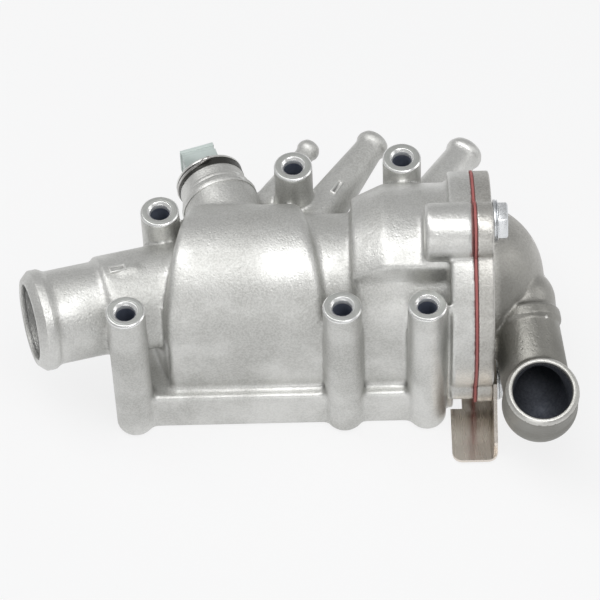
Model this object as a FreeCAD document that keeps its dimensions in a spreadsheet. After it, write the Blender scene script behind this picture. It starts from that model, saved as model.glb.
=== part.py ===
import FreeCAD
import Part
import Sketcher
import math
import os

# Coolant outlet housing of an engine: one casting with six stud tubes, a hose neck on the
# left, three small rear spigots, a sensor boss and a bolted outlet cover on the right.
# The origin is the front left stud bore on the mounting face, +X runs along the housing,
# +Y to the rear and +Z up from the mounting face. All sizes are in millimetres.

os.makedirs("parts", exist_ok=True)
doc = FreeCAD.newDocument("CoolantOutletHousing")

SIZES = {
    # common allowances
    "wall": 4.0, "over": 1.0, "fit_gap": 0.2, "seat_gap": 0.05,
    # stud tubes
    "stud_r": 6.65, "stud_top": 63.0, "stud_bore_r": 3.5, "stud_bevel": 0.7, "foot_bevel": 1.2,
    "front_mid_x": 72.4, "front_right_x": 100.8, "rear_left_x": 10.8, "rear_left_y": 43.1,
    "rear_mid_x": 56.5, "rear_mid_y": 61.8, "rear_right_x": 94.0, "rear_right_y": 64.4,
    # base plate and its two ports
    "base_height": 16.0, "base_lip": 2.3, "base_end": 3.0, "base_round": 1.0,
    "port_front_y": 10.5, "port_rear_y": 48.5, "port_left_x": 22.0, "port_left_w": 42.0,
    "port_bar": 10.0, "port_right_w": 18.0, "port_corner": 5.0,
    "seal_offset": 2.0, "seal_width": 3.0, "seal_depth": 2.5,
    # long axis of the casting
    "axis_y": 29.5, "axis_z": 39.0,
    # drum
    "drum_r": 27.2, "drum_left": 12.2, "drum_right": 67.0, "drum_lean": 10.0,
    "drum_flat": 5.7, "drum_round": 3.0,
    # waist between drum and block, and the wall with the bypass port in it
    "waist_r": 23.5, "bypass_wall_left": 66.0, "bypass_wall": 4.0, "bypass_port_r": 10.0,
    # block around the valve
    "block_left": 76.0, "block_small_r": 28.5, "block_cone": 11.0, "block_r": 33.3,
    "block_front_y": 12.2, "column_left": 77.0, "chamber_r": 23.0, "chamber_left": 80.0,
    # bolted joint
    "flange_r": 37.0, "slab_left": 109.0, "joint_x": 116.9, "gasket_t": 0.8, "cover_t": 5.7,
    "flange_floor": 3.0, "recess_r": 27.2, "recess_depth": 4.0,
    "bolt_top_dy": -5.2, "bolt_top_dz": 37.5, "bolt_top_lobe": 9.8, "bolt_top_boss": 16.6,
    "lobe_top_dy": -2.6, "lobe_top_dz": -2.0,
    "bolt_front_dy": -25.0, "bolt_front_dz": -24.5, "bolt_front_lobe": 7.6,
    "bolt_rear_dy": 34.0, "bolt_rear_dz": -15.0, "bolt_rear_lobe": 9.5,
    "bolt_r": 3.9, "bolt_length": 12.5, "tapped_r": 4.0, "hole_r": 4.3,
    "head_flange_r": 7.2, "head_flange_t": 1.6, "head_flats": 12.0, "head_height": 4.9,
    # hose neck
    "neck_angle": 16.8, "neck_rise": 4.4, "neck_joint_x": 26.8, "neck_r": 17.5, "neck_end": 37.8,
    "hose_r": 16.1, "hose_end": 63.6, "hose_bead_r": 17.4, "hose_bead": 59.4,
    "hose_bead_w": 1.6, "hose_lead_r": 15.0, "hose_bore_r": 13.2,
    # rear spigots
    "small_angle": 59.0, "small_bead": 0.6, "small_wall": 1.6, "small_bead_l": 4.5,
    "small_lead": 1.6,
    "small_a_x": 62.5, "small_a_y": 90.9, "small_a_l": 45.0, "small_a_r": 3.4, "small_a_root": 6.2,
    "small_b_x": 85.2, "small_b_y": 92.6, "small_b_l": 49.0, "small_b_r": 5.2, "small_b_root": 8.8,
    "small_c_x": 117.5, "small_c_y": 87.6, "small_c_l": 42.0, "small_c_r": 6.0, "small_c_root": 8.8,
    # sensor boss
    "sensor_x": 31.0, "sensor_y": 60.4, "sensor_z": 43.0, "sensor_angle": 108.4,
    "sensor_rim_r": 11.75, "sensor_rim": 14.5, "sensor_foot_r": 13.2, "sensor_foot": 4.0,
    "sensor_root": 14.0, "sensor_bore_r": 8.6, "sensor_seat_r": 10.0, "sensor_seat": 3.0,
    "clip_groove": 0.75, "clip_place": 11.6, "clip_wire_r": 0.6,
    # raised casting pads
    "pad_length": 6.0, "pad_width": 2.2, "pad_height": 0.7,
    # outlet cover
    "dome_r": 26.6, "dome_sink": 8.2, "dome_start": 12.0, "cover_wall": 3.0,
    "pipe_x": 138.3, "pipe_y": -17.2, "pipe_z": 29.0, "pipe_yaw": -82.1, "pipe_drop": 14.9,
    "pipe_r": 11.6, "pipe_length": 38.0, "collar_from": 33.0, "collar_to": 27.5, "knuckle_r": 12.1,
    "collar_r": 12.6, "elbow_r": 12.9, "cup_r": 12.5, "cup_height": 12.8, "rim_r": 11.4,
    "rim_bevel": 1.4, "mouth_r": 10.2, "elbow_bore_r": 9.8, "pipe_bore_r": 9.4,
    # valve insert
    "seat_r": 15.0, "frame_t": 1.2, "frame_inset": 2.0, "ring_grip": 1.6,
    "valve_disc_r": 16.6, "valve_disc_t": 1.4, "capsule_r": 6.5, "capsule_back": 24.0,
    "capsule_front": 5.0, "pin_r": 2.2, "pin_depth": 14.0, "bridge_height": 14.0,
    "bridge_width": 8.0, "bridge_t": 1.4, "bridge_foot_r": 19.5, "cage_length": 22.0,
    "foot_gap": 0.9, "cage_ring_r": 16.0, "cage_hole_r": 8.5,
    "spring_r": 13.2, "spring_wire_r": 1.0, "spring_turns": 4.5,
    "stem_r": 2.0, "stem_head_r": 3.2, "valve_lift": 8.0, "shut_gap": 0.1,
    "bypass_disc_r": 12.0, "bypass_disc_t": 1.2,
    "small_spring_r": 5.0, "small_spring_wire_r": 0.55, "small_spring_turns": 4.0,
    # sensor
    "sensor_shaft_r": 8.4, "sensor_inner": 2.0, "sensor_head": 14.5, "socket_w": 13.0,
    "socket_h": 10.0, "socket_end": 27.3, "socket_wall": 1.5, "socket_depth": 8.0,
    "probe_r": 3.4, "probe_length": 15.0, "ring_place": 6.0, "ring_groove": 1.6,
    "ring_groove_r": 7.3, "ring_wire_r": 0.62, "terminal_w": 2.8, "terminal_t": 0.8,
    "terminal_length": 6.5, "terminal_pitch": 5.0, "clip_end_gap": 70.0,
    # cover bracket
    "bracket_t": 1.2, "bracket_z": 0.8, "bracket_left": 109.0, "bracket_rear": 9.0,
    "bracket_front": 20.6, "bracket_corner": 3.5, "gusset_front": 17.0,
    "gusset_height": 6.0, "tab_top": 6.4, "tab_back": 7.0,
}


class Size:
    """A number together with the sheet expression that it comes from."""

    def __init__(self, value, text):
        self.value = float(value)
        self.text = text

    def __add__(self, other):
        other = as_size(other)
        return Size(self.value + other.value, "(%s + %s)" % (self.text, other.text))

    __radd__ = __add__

    def __sub__(self, other):
        other = as_size(other)
        return Size(self.value - other.value, "(%s - %s)" % (self.text, other.text))

    def __rsub__(self, other):
        return as_size(other) - self

    def __mul__(self, other):
        other = as_size(other)
        return Size(self.value * other.value, "(%s * %s)" % (self.text, other.text))

    __rmul__ = __mul__

    def __truediv__(self, other):
        other = as_size(other)
        return Size(self.value / other.value, "(%s / %s)" % (self.text, other.text))

    def __neg__(self):
        return Size(-self.value, "(-1 * %s)" % self.text)


def as_size(number):
    return number if isinstance(number, Size) else Size(number, repr(float(number)))


def cosine(angle):
    return Size(math.cos(math.radians(angle.value)), "cos(%s)" % angle.text)


def sine(angle):
    return Size(math.sin(math.radians(angle.value)), "sin(%s)" % angle.text)


class Sheet:
    """The driving dimensions, one aliased cell each, read as sizes."""

    def __init__(self, sizes):
        self.cells = doc.addObject("Spreadsheet::Sheet", "Sizes")
        for row, (alias, value) in enumerate(sizes.items(), start=1):
            self.cells.set("A%d" % row, alias)
            self.cells.set("B%d" % row, str(value))
            self.cells.setAlias("B%d" % row, alias)
        doc.recompute()

    def __getattr__(self, alias):
        return Size(getattr(self.cells, alias), "Sizes.%s" % alias)


S = Sheet(SIZES)
ZERO = as_size(0)
TOUCH = 0.01
QUARTER_TURN = 90
FULL_TURN = 360
HEX_SIDES = 6


# Helpers for placing objects and for sketches bound to the sheet

def put(item, x=ZERO, y=ZERO, z=ZERO, yaw=ZERO, pitch=ZERO, roll=ZERO):
    """Places an item: turned by yaw, pitch and roll in degrees, then moved to x, y, z."""
    x, y, z, yaw, pitch, roll = [as_size(v) for v in (x, y, z, yaw, pitch, roll)]
    item.setExpression("Placement", "create(<<placement>>; create(<<vector>>; %s; %s; %s); "
                       "create(<<rotation>>; %s; %s; %s))"
                       % (x.text, y.text, z.text, yaw.text, pitch.text, roll.text))
    return item


def new_body(label):
    body = doc.addObject("PartDesign::Body", label)
    body.Label = label
    return body


def sketch_on(body, role, name, offset=None):
    """A sketch on one of the body's own planes, moved along the plane's normal."""
    plane = [f for f in body.Origin.OriginFeatures if f.Role == role][0]
    sketch = body.newObject("Sketcher::SketchObject", name)
    sketch.AttachmentSupport = [(plane, "")]
    sketch.MapMode = "FlatFace"
    if offset is not None:
        sketch.setExpression("AttachmentOffset.Base.z", offset.text)
    return sketch


def pin_point(sketch, geometry, corner, x, y):
    """Holds a vertex at x, y, each a size."""
    for kind, size, axis in (("DistanceX", x, -2), ("DistanceY", y, -1)):
        if size.value == 0 and size.text == ZERO.text:
            sketch.addConstraint(Sketcher.Constraint("PointOnObject", geometry, corner, axis))
            continue
        held = Sketcher.Constraint(kind, -1, 1, geometry, corner, size.value)
        index = sketch.addConstraint(held)
        sketch.setExpression("Constraints[%d]" % index, size.text)


def polygon(sketch, points):
    """A closed outline through points whose two coordinates are sizes."""
    points = [(as_size(x), as_size(y)) for x, y in points]
    first = sketch.GeometryCount
    count = len(points)
    for i in range(count):
        x0, y0 = points[i]
        x1, y1 = points[(i + 1) % count]
        start = FreeCAD.Vector(x0.value, y0.value, 0)
        end = FreeCAD.Vector(x1.value, y1.value, 0)
        sketch.addGeometry(Part.LineSegment(start, end))
    for i in range(count):
        sketch.addConstraint(Sketcher.Constraint("Coincident", first + i, 2,
                                                 first + (i + 1) % count, 1))
    for i, (x, y) in enumerate(points):
        pin_point(sketch, first + i, 1, x, y)


def circle(sketch, x, y, radius):
    centre = FreeCAD.Vector(as_size(x).value, as_size(y).value, 0)
    index = sketch.addGeometry(Part.Circle(centre, FreeCAD.Vector(0, 0, 1), radius.value))
    pin_point(sketch, index, 3, as_size(x), as_size(y))
    held = sketch.addConstraint(Sketcher.Constraint("Radius", index, radius.value))
    sketch.setExpression("Constraints[%d]" % held, radius.text)


def tunnel(sketch, x, y, radius, foot):
    """An upright arch: a half circle about x, y on two straight sides down to the foot."""
    up = FreeCAD.Vector(0, 0, 1)
    middle = FreeCAD.Vector(x.value, y.value, 0)
    arc = sketch.addGeometry(Part.ArcOfCircle(Part.Circle(middle, up, radius.value), 0, math.pi))
    left, right = x.value - radius.value, x.value + radius.value
    corners = [(left, y.value), (left, foot.value), (right, foot.value), (right, y.value)]
    for (x0, y0), (x1, y1) in zip(corners, corners[1:]):
        sketch.addGeometry(Part.LineSegment(FreeCAD.Vector(x0, y0, 0), FreeCAD.Vector(x1, y1, 0)))
    pin_point(sketch, arc, 3, x, y)
    held = sketch.addConstraint(Sketcher.Constraint("Radius", arc, radius.value))
    sketch.setExpression("Constraints[%d]" % held, radius.text)
    sketch.addConstraint(Sketcher.Constraint("Horizontal", arc, 3, arc, 2))
    sketch.addConstraint(Sketcher.Constraint("Horizontal", arc, 3, arc, 1))
    sketch.addConstraint(Sketcher.Constraint("Coincident", arc, 2, arc + 1, 1))
    sketch.addConstraint(Sketcher.Constraint("Coincident", arc + 1, 2, arc + 2, 1))
    sketch.addConstraint(Sketcher.Constraint("Coincident", arc + 2, 2, arc + 3, 1))
    sketch.addConstraint(Sketcher.Constraint("Coincident", arc + 3, 2, arc, 1))
    sketch.addConstraint(Sketcher.Constraint("Vertical", arc + 1))
    sketch.addConstraint(Sketcher.Constraint("Vertical", arc + 3))
    sketch.addConstraint(Sketcher.Constraint("Horizontal", arc + 2))
    held = sketch.addConstraint(Sketcher.Constraint("DistanceY", -1, 1, arc + 2, 1, foot.value))
    sketch.setExpression("Constraints[%d]" % held, foot.text)


def pad(body, sketch, length, back=False, both=False):
    feature = body.newObject("PartDesign::Pad", "Pad")
    feature.Profile = sketch
    feature.setExpression("Length", length.text)
    feature.Reversed = back
    feature.SideType = "Symmetric" if both else "One side"
    return feature


def pocket(body, sketch, depth, back=False, both=False):
    feature = body.newObject("PartDesign::Pocket", "Pocket")
    feature.Profile = sketch
    feature.setExpression("Length", depth.text)
    feature.Reversed = back
    feature.SideType = "Symmetric" if both else "One side"
    return feature


def revolve(body, sketch, axis="H_Axis", cut=False):
    kind = "PartDesign::Groove" if cut else "PartDesign::Revolution"
    feature = body.newObject(kind, "Turning")
    feature.Profile = sketch
    feature.ReferenceAxis = (sketch, [axis])
    feature.Angle = FULL_TURN
    return feature


def turned(label, points):
    """A body turned about its own X axis from (distance along, radius) points."""
    body = new_body(label)
    profile = sketch_on(body, "XZ_Plane", label + "_profile")
    polygon(profile, points)
    revolve(body, profile)
    return body


def spun(label, points):
    """A body turned about its own Z axis from (radius, height) points."""
    body = new_body(label)
    profile = sketch_on(body, "XZ_Plane", label + "_profile")
    polygon(profile, points)
    revolve(body, profile, "V_Axis")
    return body


def block(label, x0, x1, y0, y1, z0, z1):
    """A plain box between two corners."""
    x0, x1, y0, y1, z0, z1 = [as_size(v) for v in (x0, x1, y0, y1, z0, z1)]
    item = doc.addObject("Part::Box", label)
    item.Label = label
    item.setExpression("Length", (x1 - x0).text)
    item.setExpression("Width", (y1 - y0).text)
    item.setExpression("Height", (z1 - z0).text)
    return put(item, x0, y0, z0)


def fused(label, items):
    result = doc.addObject("Part::MultiFuse", label)
    result.Label = label
    result.Shapes = items
    result.Refine = True
    return result


def cut(label, base, tool):
    result = doc.addObject("Part::Cut", label)
    result.Label = label
    result.Base = base
    result.Tool = tool
    result.Refine = True
    return result


def round_edges(body, radius, wanted):
    """Rounds the body's edges that the test picks."""
    doc.recompute()
    tip = body.Tip
    names = ["Edge%d" % (i + 1) for i, e in enumerate(tip.Shape.Edges) if wanted(e)]
    feature = body.newObject("PartDesign::Fillet", "Rounding")
    feature.Base = (tip, names)
    feature.setExpression("Radius", radius.text)
    return feature


# Places that several pieces share

STUDS = {
    "front_left": (ZERO, ZERO),
    "front_mid": (S.front_mid_x, ZERO),
    "front_right": (S.front_right_x, ZERO),
    "rear_left": (S.rear_left_x, S.rear_left_y),
    "rear_mid": (S.rear_mid_x, S.rear_mid_y),
    "rear_right": (S.rear_right_x, S.rear_right_y),
}
BOLTS = {
    "top": (S.axis_y + S.bolt_top_dy, S.axis_z + S.bolt_top_dz, S.bolt_top_lobe),
    "front": (S.axis_y + S.bolt_front_dy, S.axis_z + S.bolt_front_dz, S.bolt_front_lobe),
    "rear": (S.axis_y + S.bolt_rear_dy, S.axis_z + S.bolt_rear_dz, S.bolt_rear_lobe),
}
EARS = dict(BOLTS)
EARS["top"] = (BOLTS["top"][0] + S.lobe_top_dy, BOLTS["top"][1] + S.lobe_top_dz, S.bolt_top_lobe)
COVER_X = S.joint_x + S.gasket_t
COVER_FACE_X = COVER_X + S.cover_t
SMALL_SPIGOTS = {
    "a": (S.small_a_x, S.small_a_y, S.small_a_l, S.small_a_r, S.small_a_root),
    "b": (S.small_b_x, S.small_b_y, S.small_b_l, S.small_b_r, S.small_b_root),
    "c": (S.small_c_x, S.small_c_y, S.small_c_l, S.small_c_r, S.small_c_root),
}
PORT_LEFT_END = S.port_left_x + S.port_left_w
PORT_RIGHT_X = PORT_LEFT_END + S.port_bar
PORT_RIGHT_END = PORT_RIGHT_X + S.port_right_w


# Outside of the housing casting

def base_plate():
    """The plate on the mounting face, its outline just inside the six stud tubes."""
    body = new_body("base_plate")
    outline = sketch_on(body, "XY_Plane", "base_outline")
    polygon(outline, [
        (-S.base_end, -S.base_lip),
        (S.front_right_x + S.base_end, -S.base_lip),
        (S.rear_right_x + S.base_end, S.rear_right_y + S.base_lip),
        (S.rear_mid_x, S.rear_mid_y + S.base_end),
        (S.rear_left_x - S.base_lip, S.port_rear_y + S.seal_offset + S.seal_width + S.base_end),
    ])
    pad(body, outline, S.base_height)
    top = S.base_height.value
    round_edges(body, S.base_round, lambda e: e.BoundBox.ZMin > top - TOUCH)
    return body


def stud_tube(name, x, y):
    body = spun("stud_" + name, [
        (0, 0), (S.stud_r - S.foot_bevel, 0), (S.stud_r, S.foot_bevel),
        (S.stud_r, S.stud_top - S.stud_bevel), (S.stud_r - S.stud_bevel, S.stud_top),
        (0, S.stud_top),
    ])
    return put(body, x, y)


def drum():
    """The arched front chamber, its ends leaning in toward the rear."""
    body = new_body("drum")
    section = sketch_on(body, "YZ_Plane", "drum_section", S.drum_left)
    tunnel(section, S.axis_y, S.axis_z, S.drum_r, S.over)
    pad(body, section, S.drum_right - S.drum_left)
    rear = S.axis_y + S.drum_r + S.over
    top = S.axis_z + S.drum_r + S.over
    lean_y = S.axis_y - S.drum_r + S.drum_flat
    ends = [(S.drum_left, 1), (S.drum_right, -1)]
    for x, way in ends:
        plan = sketch_on(body, "XY_Plane", "drum_end")
        polygon(plan, [(x - way * S.over, lean_y), (x, lean_y),
                       (x + way * S.drum_lean, rear), (x - way * S.over, rear)])
        pocket(body, plan, top, back=True)
    low = S.base_height.value
    front = S.axis_y.value - S.drum_r.value + TOUCH
    shortest_side = S.drum_right.value - S.drum_left.value - 2 * S.drum_lean.value - 2 * S.over.value

    def end_edge(e):
        box = e.BoundBox
        if box.ZMax < low or box.XLength > shortest_side:
            return False
        straight_up = box.XLength < TOUCH and box.YLength < TOUCH
        return not straight_up or box.YMin < front

    round_edges(body, S.drum_round, end_edge)
    return body


def waist():
    body = new_body("waist")
    section = sketch_on(body, "YZ_Plane", "waist_section", S.drum_right - S.drum_lean - S.wall)
    tunnel(section, S.axis_y, S.axis_z, S.waist_r, S.over)
    pad(body, section, S.block_left - S.drum_right + S.drum_lean + S.wall + S.over)
    return body


def column():
    """The arch under the block, down to the base plate."""
    body = new_body("column")
    section = sketch_on(body, "YZ_Plane", "column_section", S.column_left)
    tunnel(section, S.axis_y, S.axis_z, S.drum_r, S.over)
    pad(body, section, S.slab_left - S.column_left + S.over)
    return body


def valve_block():
    """The round block around the valve, coned on its left, its front cut flat."""
    right = S.slab_left + S.over
    body = turned("valve_block", [
        (S.block_left, 0), (S.block_left, S.block_small_r),
        (S.block_left + S.block_cone, S.block_r), (right, S.block_r), (right, 0),
    ])
    put(body, ZERO, S.axis_y, S.axis_z)
    front = block("block_front", S.block_left - S.over, right + S.over,
                  S.axis_y - S.block_r - S.over, S.block_front_y,
                  S.axis_z - S.block_r - S.over, S.axis_z + S.block_r + S.over)
    return cut("block_shape", body, front)


def flange_plate(label, x, thickness, radius, lobe_more):
    """The round joint plate with a lobe at each bolt, cut flat near the mounting face."""
    body = new_body(label)
    disc = sketch_on(body, "YZ_Plane", label + "_disc", x)
    circle(disc, S.axis_y, S.axis_z, radius)
    pad(body, disc, thickness)
    for name, (y, z, lobe) in EARS.items():
        ear = sketch_on(body, "YZ_Plane", label + "_" + name, x)
        circle(ear, y, z, lobe + lobe_more)
        pad(body, ear, thickness)
    flat = sketch_on(body, "YZ_Plane", label + "_floor", x)
    polygon(flat, [(S.axis_y - radius, -S.flange_r), (S.axis_y + radius, -S.flange_r),
                   (S.axis_y + radius, S.flange_floor), (S.axis_y - radius, S.flange_floor)])
    pocket(body, flat, thickness, back=True)
    return body


def bolt_boss():
    """The round boss that the top cover bolt screws into, left of the joint plate."""
    y, z, lobe = EARS["top"]
    left = S.joint_x - S.bolt_top_boss
    body = turned("bolt_boss", [(left, 0), (left, lobe - S.foot_bevel), (left + S.foot_bevel, lobe),
                                (S.joint_x - S.over, lobe), (S.joint_x - S.over, 0)])
    return put(body, ZERO, y, z)


def at_neck(item):
    return put(item, S.neck_joint_x, S.axis_y, S.axis_z, S.neck_angle, S.neck_rise)


def hose_neck():
    """The neck and its hose end with a rolled bead, running left from the drum."""
    bead, width = S.hose_bead, S.hose_bead_w
    body = turned("hose_neck", [
        (ZERO, ZERO), (-S.hose_end, ZERO), (-S.hose_end, S.hose_lead_r),
        (-bead - width, S.hose_bead_r), (-bead + width, S.hose_bead_r),
        (-bead + 2 * width, S.hose_r), (-S.neck_end - S.over, S.hose_r),
        (-S.neck_end, S.neck_r), (ZERO, S.neck_r),
    ])
    return at_neck(body)


def neck_web():
    """The wall under the neck, down to the base plate."""
    body = new_body("neck_web")
    section = sketch_on(body, "YZ_Plane", "web_section")
    tunnel(section, ZERO, S.axis_z, S.neck_r - S.over, S.over)
    pad(body, section, S.neck_end - S.hose_r, back=True)
    return put(body, S.neck_joint_x, S.axis_y, ZERO, S.neck_angle)


def small_spigot(name, x, y, length, tip_r, root_r):
    """A rear hose spigot with a bead at its tip, tapered from its thick root."""
    bead_r = tip_r + S.small_bead
    body = turned("spigot_" + name, [
        (ZERO, ZERO), (ZERO, tip_r), (-S.small_lead, bead_r), (-S.small_bead_l + S.small_lead, bead_r),
        (-S.small_bead_l, tip_r), (-length, root_r), (-length, ZERO),
    ])
    return put(body, x, y, S.axis_z, S.small_angle)


def sensor_boss():
    body = turned("sensor_boss", [
        (-S.sensor_root, ZERO), (-S.sensor_root, S.sensor_foot_r), (S.sensor_foot, S.sensor_foot_r),
        (S.sensor_foot + S.over, S.sensor_rim_r), (S.clip_place, S.sensor_rim_r),
        (S.clip_place, S.sensor_rim_r - S.clip_groove),
        (S.clip_place + 2 * S.clip_wire_r, S.sensor_rim_r - S.clip_groove),
        (S.clip_place + 2 * S.clip_wire_r, S.sensor_rim_r), (S.sensor_rim, S.sensor_rim_r),
        (S.sensor_rim, ZERO),
    ])
    return put(body, S.sensor_x, S.sensor_y, S.sensor_z, S.sensor_angle)


def neck_pad():
    """A small raised casting pad on top of the neck."""
    wide = S.pad_width / 2
    body = new_body("neck_pad")
    plan = sketch_on(body, "XY_Plane", "pad_plan")
    right = 2 * S.pad_length - S.neck_end
    polygon(plan, [(right - S.pad_length, -wide), (right, -wide), (right, wide),
                   (right - S.pad_length, wide)])
    pad(body, plan, S.neck_r + S.pad_height)
    return at_neck(body)


# Inside of the housing casting

def port(label, x0, x1):
    """A rounded port through the mounting face, up to the long axis."""
    body = new_body(label)
    plan = sketch_on(body, "XY_Plane", label + "_plan", -S.over)
    polygon(plan, [(x0, S.port_front_y), (x1, S.port_front_y), (x1, S.port_rear_y),
                   (x0, S.port_rear_y)])
    pad(body, plan, S.axis_z + S.over)
    round_edges(body, S.port_corner, lambda e: e.BoundBox.XLength + e.BoundBox.YLength < TOUCH)
    return body


def drum_room():
    body = new_body("drum_room")
    left = S.drum_left + S.drum_lean
    section = sketch_on(body, "YZ_Plane", "room_section", left)
    tunnel(section, S.axis_y, S.axis_z, S.drum_r - S.wall, S.base_height)
    pad(body, section, S.bypass_wall_left - S.wall - S.drum_lean / 2 - left)
    throat = turned("throat", [(left, 0), (left, S.waist_r - S.wall),
                               (S.bypass_wall_left, S.waist_r - S.wall), (S.bypass_wall_left, 0)])
    return [body, put(throat, ZERO, S.axis_y, S.axis_z)]


def valve_room():
    """The bypass port, the valve chamber and the recess for the valve's rim."""
    start = S.bypass_wall_left + S.bypass_wall
    recess = S.joint_x - S.recess_depth
    body = turned("valve_room", [
        (S.bypass_wall_left - S.over, 0), (S.bypass_wall_left - S.over, S.bypass_port_r),
        (start, S.bypass_port_r), (start, S.waist_r - S.wall),
        (S.chamber_left, S.waist_r - S.wall), (S.chamber_left, S.chamber_r),
        (recess, S.chamber_r), (recess, S.recess_r),
        (S.joint_x + S.over, S.recess_r), (S.joint_x + S.over, 0),
    ])
    return put(body, ZERO, S.axis_y, S.axis_z)


def stud_bore(name, x, y):
    wide = S.stud_bore_r + S.stud_bevel
    body = spun("bore_" + name, [
        (0, -S.over), (S.stud_bore_r, -S.over), (S.stud_bore_r, S.stud_top - S.stud_bevel),
        (wide, S.stud_top), (wide, S.stud_top + S.over), (0, S.stud_top + S.over),
    ])
    return put(body, x, y)


def neck_bore():
    body = turned("neck_bore", [(S.wall, 0), (-S.hose_end - S.over, 0),
                                (-S.hose_end - S.over, S.hose_bore_r), (S.wall, S.hose_bore_r)])
    return at_neck(body)


def small_bore(name, x, y, length, tip_r, root_r):
    deep, radius = length + S.wall, tip_r - S.small_wall
    body = turned("bore_" + name, [(S.over, 0), (-deep, 0), (-deep, radius), (S.over, radius)])
    return put(body, x, y, S.axis_z, S.small_angle)


def sensor_bore():
    deep = S.sensor_root + 2 * S.wall
    seat = S.sensor_rim - S.sensor_seat
    body = turned("sensor_bore", [
        (-deep, 0), (-deep, S.sensor_bore_r), (seat, S.sensor_bore_r), (seat, S.sensor_seat_r),
        (S.sensor_rim + S.over, S.sensor_seat_r), (S.sensor_rim + S.over, 0),
    ])
    return put(body, S.sensor_x, S.sensor_y, S.sensor_z, S.sensor_angle)


def tapped_hole(name, y, z):
    length = S.bolt_length - S.cover_t - S.gasket_t + S.over
    body = turned("tapped_" + name, [
        (S.joint_x - length, 0), (S.joint_x - length, S.tapped_r), (S.joint_x + S.over, S.tapped_r),
        (S.joint_x + S.over, 0),
    ])
    return put(body, ZERO, y, z)


def seal_path(label, grow, low, high):
    """The closed ring around both ports with a bar between them."""
    near, far = S.seal_offset - grow, S.seal_offset + S.seal_width + grow
    body = new_body(label)
    ring = sketch_on(body, "XY_Plane", label + "_ring", low)
    left, right = S.port_left_x - far, PORT_RIGHT_END + far
    front, rear = S.port_front_y - far, S.port_rear_y + far
    polygon(ring, [(left, front), (right, front), (right, rear), (left, rear)])
    spans = [(S.port_left_x - near, PORT_LEFT_END + near),
             (PORT_RIGHT_X - near, PORT_RIGHT_END + near)]
    for x0, x1 in spans:
        polygon(ring, [(x0, S.port_front_y - near), (x1, S.port_front_y - near),
                       (x1, S.port_rear_y + near), (x0, S.port_rear_y + near)])
    pad(body, ring, high - low)
    return body


def housing_body():
    solids = [base_plate(), drum(), waist(), column(), valve_block(), hose_neck(), neck_web(),
              sensor_boss(), neck_pad(), bolt_boss()]
    slab_t = S.joint_x - S.slab_left
    solids.append(flange_plate("joint_slab", S.slab_left, slab_t, S.flange_r, -S.over))
    solids += [stud_tube(name, x, y) for name, (x, y) in STUDS.items()]
    solids += [small_spigot(name, *place) for name, place in SMALL_SPIGOTS.items()]
    rooms = drum_room()
    rooms += [port("port_left", S.port_left_x, PORT_LEFT_END),
              port("port_right", PORT_RIGHT_X, PORT_RIGHT_END)]
    rooms += [valve_room(), neck_bore(), sensor_bore()]
    rooms += [stud_bore(name, x, y) for name, (x, y) in STUDS.items()]
    rooms += [small_bore(name, *place) for name, place in SMALL_SPIGOTS.items()]
    rooms += [tapped_hole(name, y, z) for name, (y, z, lobe) in BOLTS.items()]
    rooms.append(seal_path("seal_groove", ZERO, -S.over, S.seal_depth))
    return cut("housing_body", fused("housing_solid", solids), fused("housing_rooms", rooms))


def mounting_seal():
    return seal_path("mounting_seal", -S.seat_gap, S.seat_gap, S.seal_depth)


# Outlet cover and what bolts it on

def bolt_holes(label, x0, x1):
    holes = []
    for name, (y, z, lobe) in BOLTS.items():
        hole = turned(label + "_" + name, [(x0, 0), (x0, S.hole_r), (x1, S.hole_r), (x1, 0)])
        holes.append(put(hole, ZERO, y, z))
    return holes


def ball(label, radius):
    item = doc.addObject("Part::Sphere", label)
    item.Label = label
    item.setExpression("Radius", radius.text)
    return item


def dome(label, radius, start):
    """A ball's cap over the valve, from a latitude up, its centre on the long axis."""
    item = ball(label, radius)
    item.setExpression("Angle1", start.text)
    centre = COVER_FACE_X - S.dome_sink
    return put(item, centre, S.axis_y, S.axis_z, ZERO, as_size(QUARTER_TURN))


def at_elbow(item):
    """Places an item of the outlet pipe: X along the pipe, Z up through the mouth."""
    return put(item, S.pipe_x, S.pipe_y, S.pipe_z, S.pipe_yaw, S.pipe_drop)


def at_knuckle(item):
    """Places a ball at the pipe's inner end, in the dome."""
    level = S.pipe_length * cosine(S.pipe_drop)
    return put(item, S.pipe_x - level * cosine(S.pipe_yaw), S.pipe_y - level * sine(S.pipe_yaw),
               S.pipe_z + S.pipe_length * sine(S.pipe_drop))


def outlet_pipe():
    pipe = turned("pipe", [
        (-S.pipe_length, 0), (-S.pipe_length, S.pipe_r), (-S.collar_from, S.pipe_r),
        (-S.collar_from + S.over, S.collar_r), (-S.collar_to - S.over, S.collar_r),
        (-S.collar_to, S.pipe_r), (0, S.pipe_r), (0, 0),
    ])
    cup = spun("cup", [
        (0, 0), (S.cup_r, 0), (S.cup_r, S.cup_height - S.rim_bevel),
        (S.rim_r, S.cup_height), (0, S.cup_height),
    ])
    outer = [at_elbow(item) for item in (pipe, cup, ball("elbow", S.elbow_r))]
    return outer + [at_knuckle(ball("knuckle", S.knuckle_r))]


def pipe_rooms():
    pipe = turned("pipe_bore", [(-S.pipe_length, 0), (-S.pipe_length, S.pipe_bore_r),
                                (0, S.pipe_bore_r), (0, 0)])
    mouth = spun("mouth_bore", [(0, 0), (S.pipe_bore_r, 0), (S.mouth_r, S.cup_height),
                                (S.mouth_r, S.cup_height + S.over), (0, S.cup_height + S.over)])
    rooms = [at_elbow(item) for item in (pipe, mouth, ball("elbow_bore", S.elbow_bore_r))]
    return rooms + [at_knuckle(ball("knuckle_bore", S.elbow_bore_r))]


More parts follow.
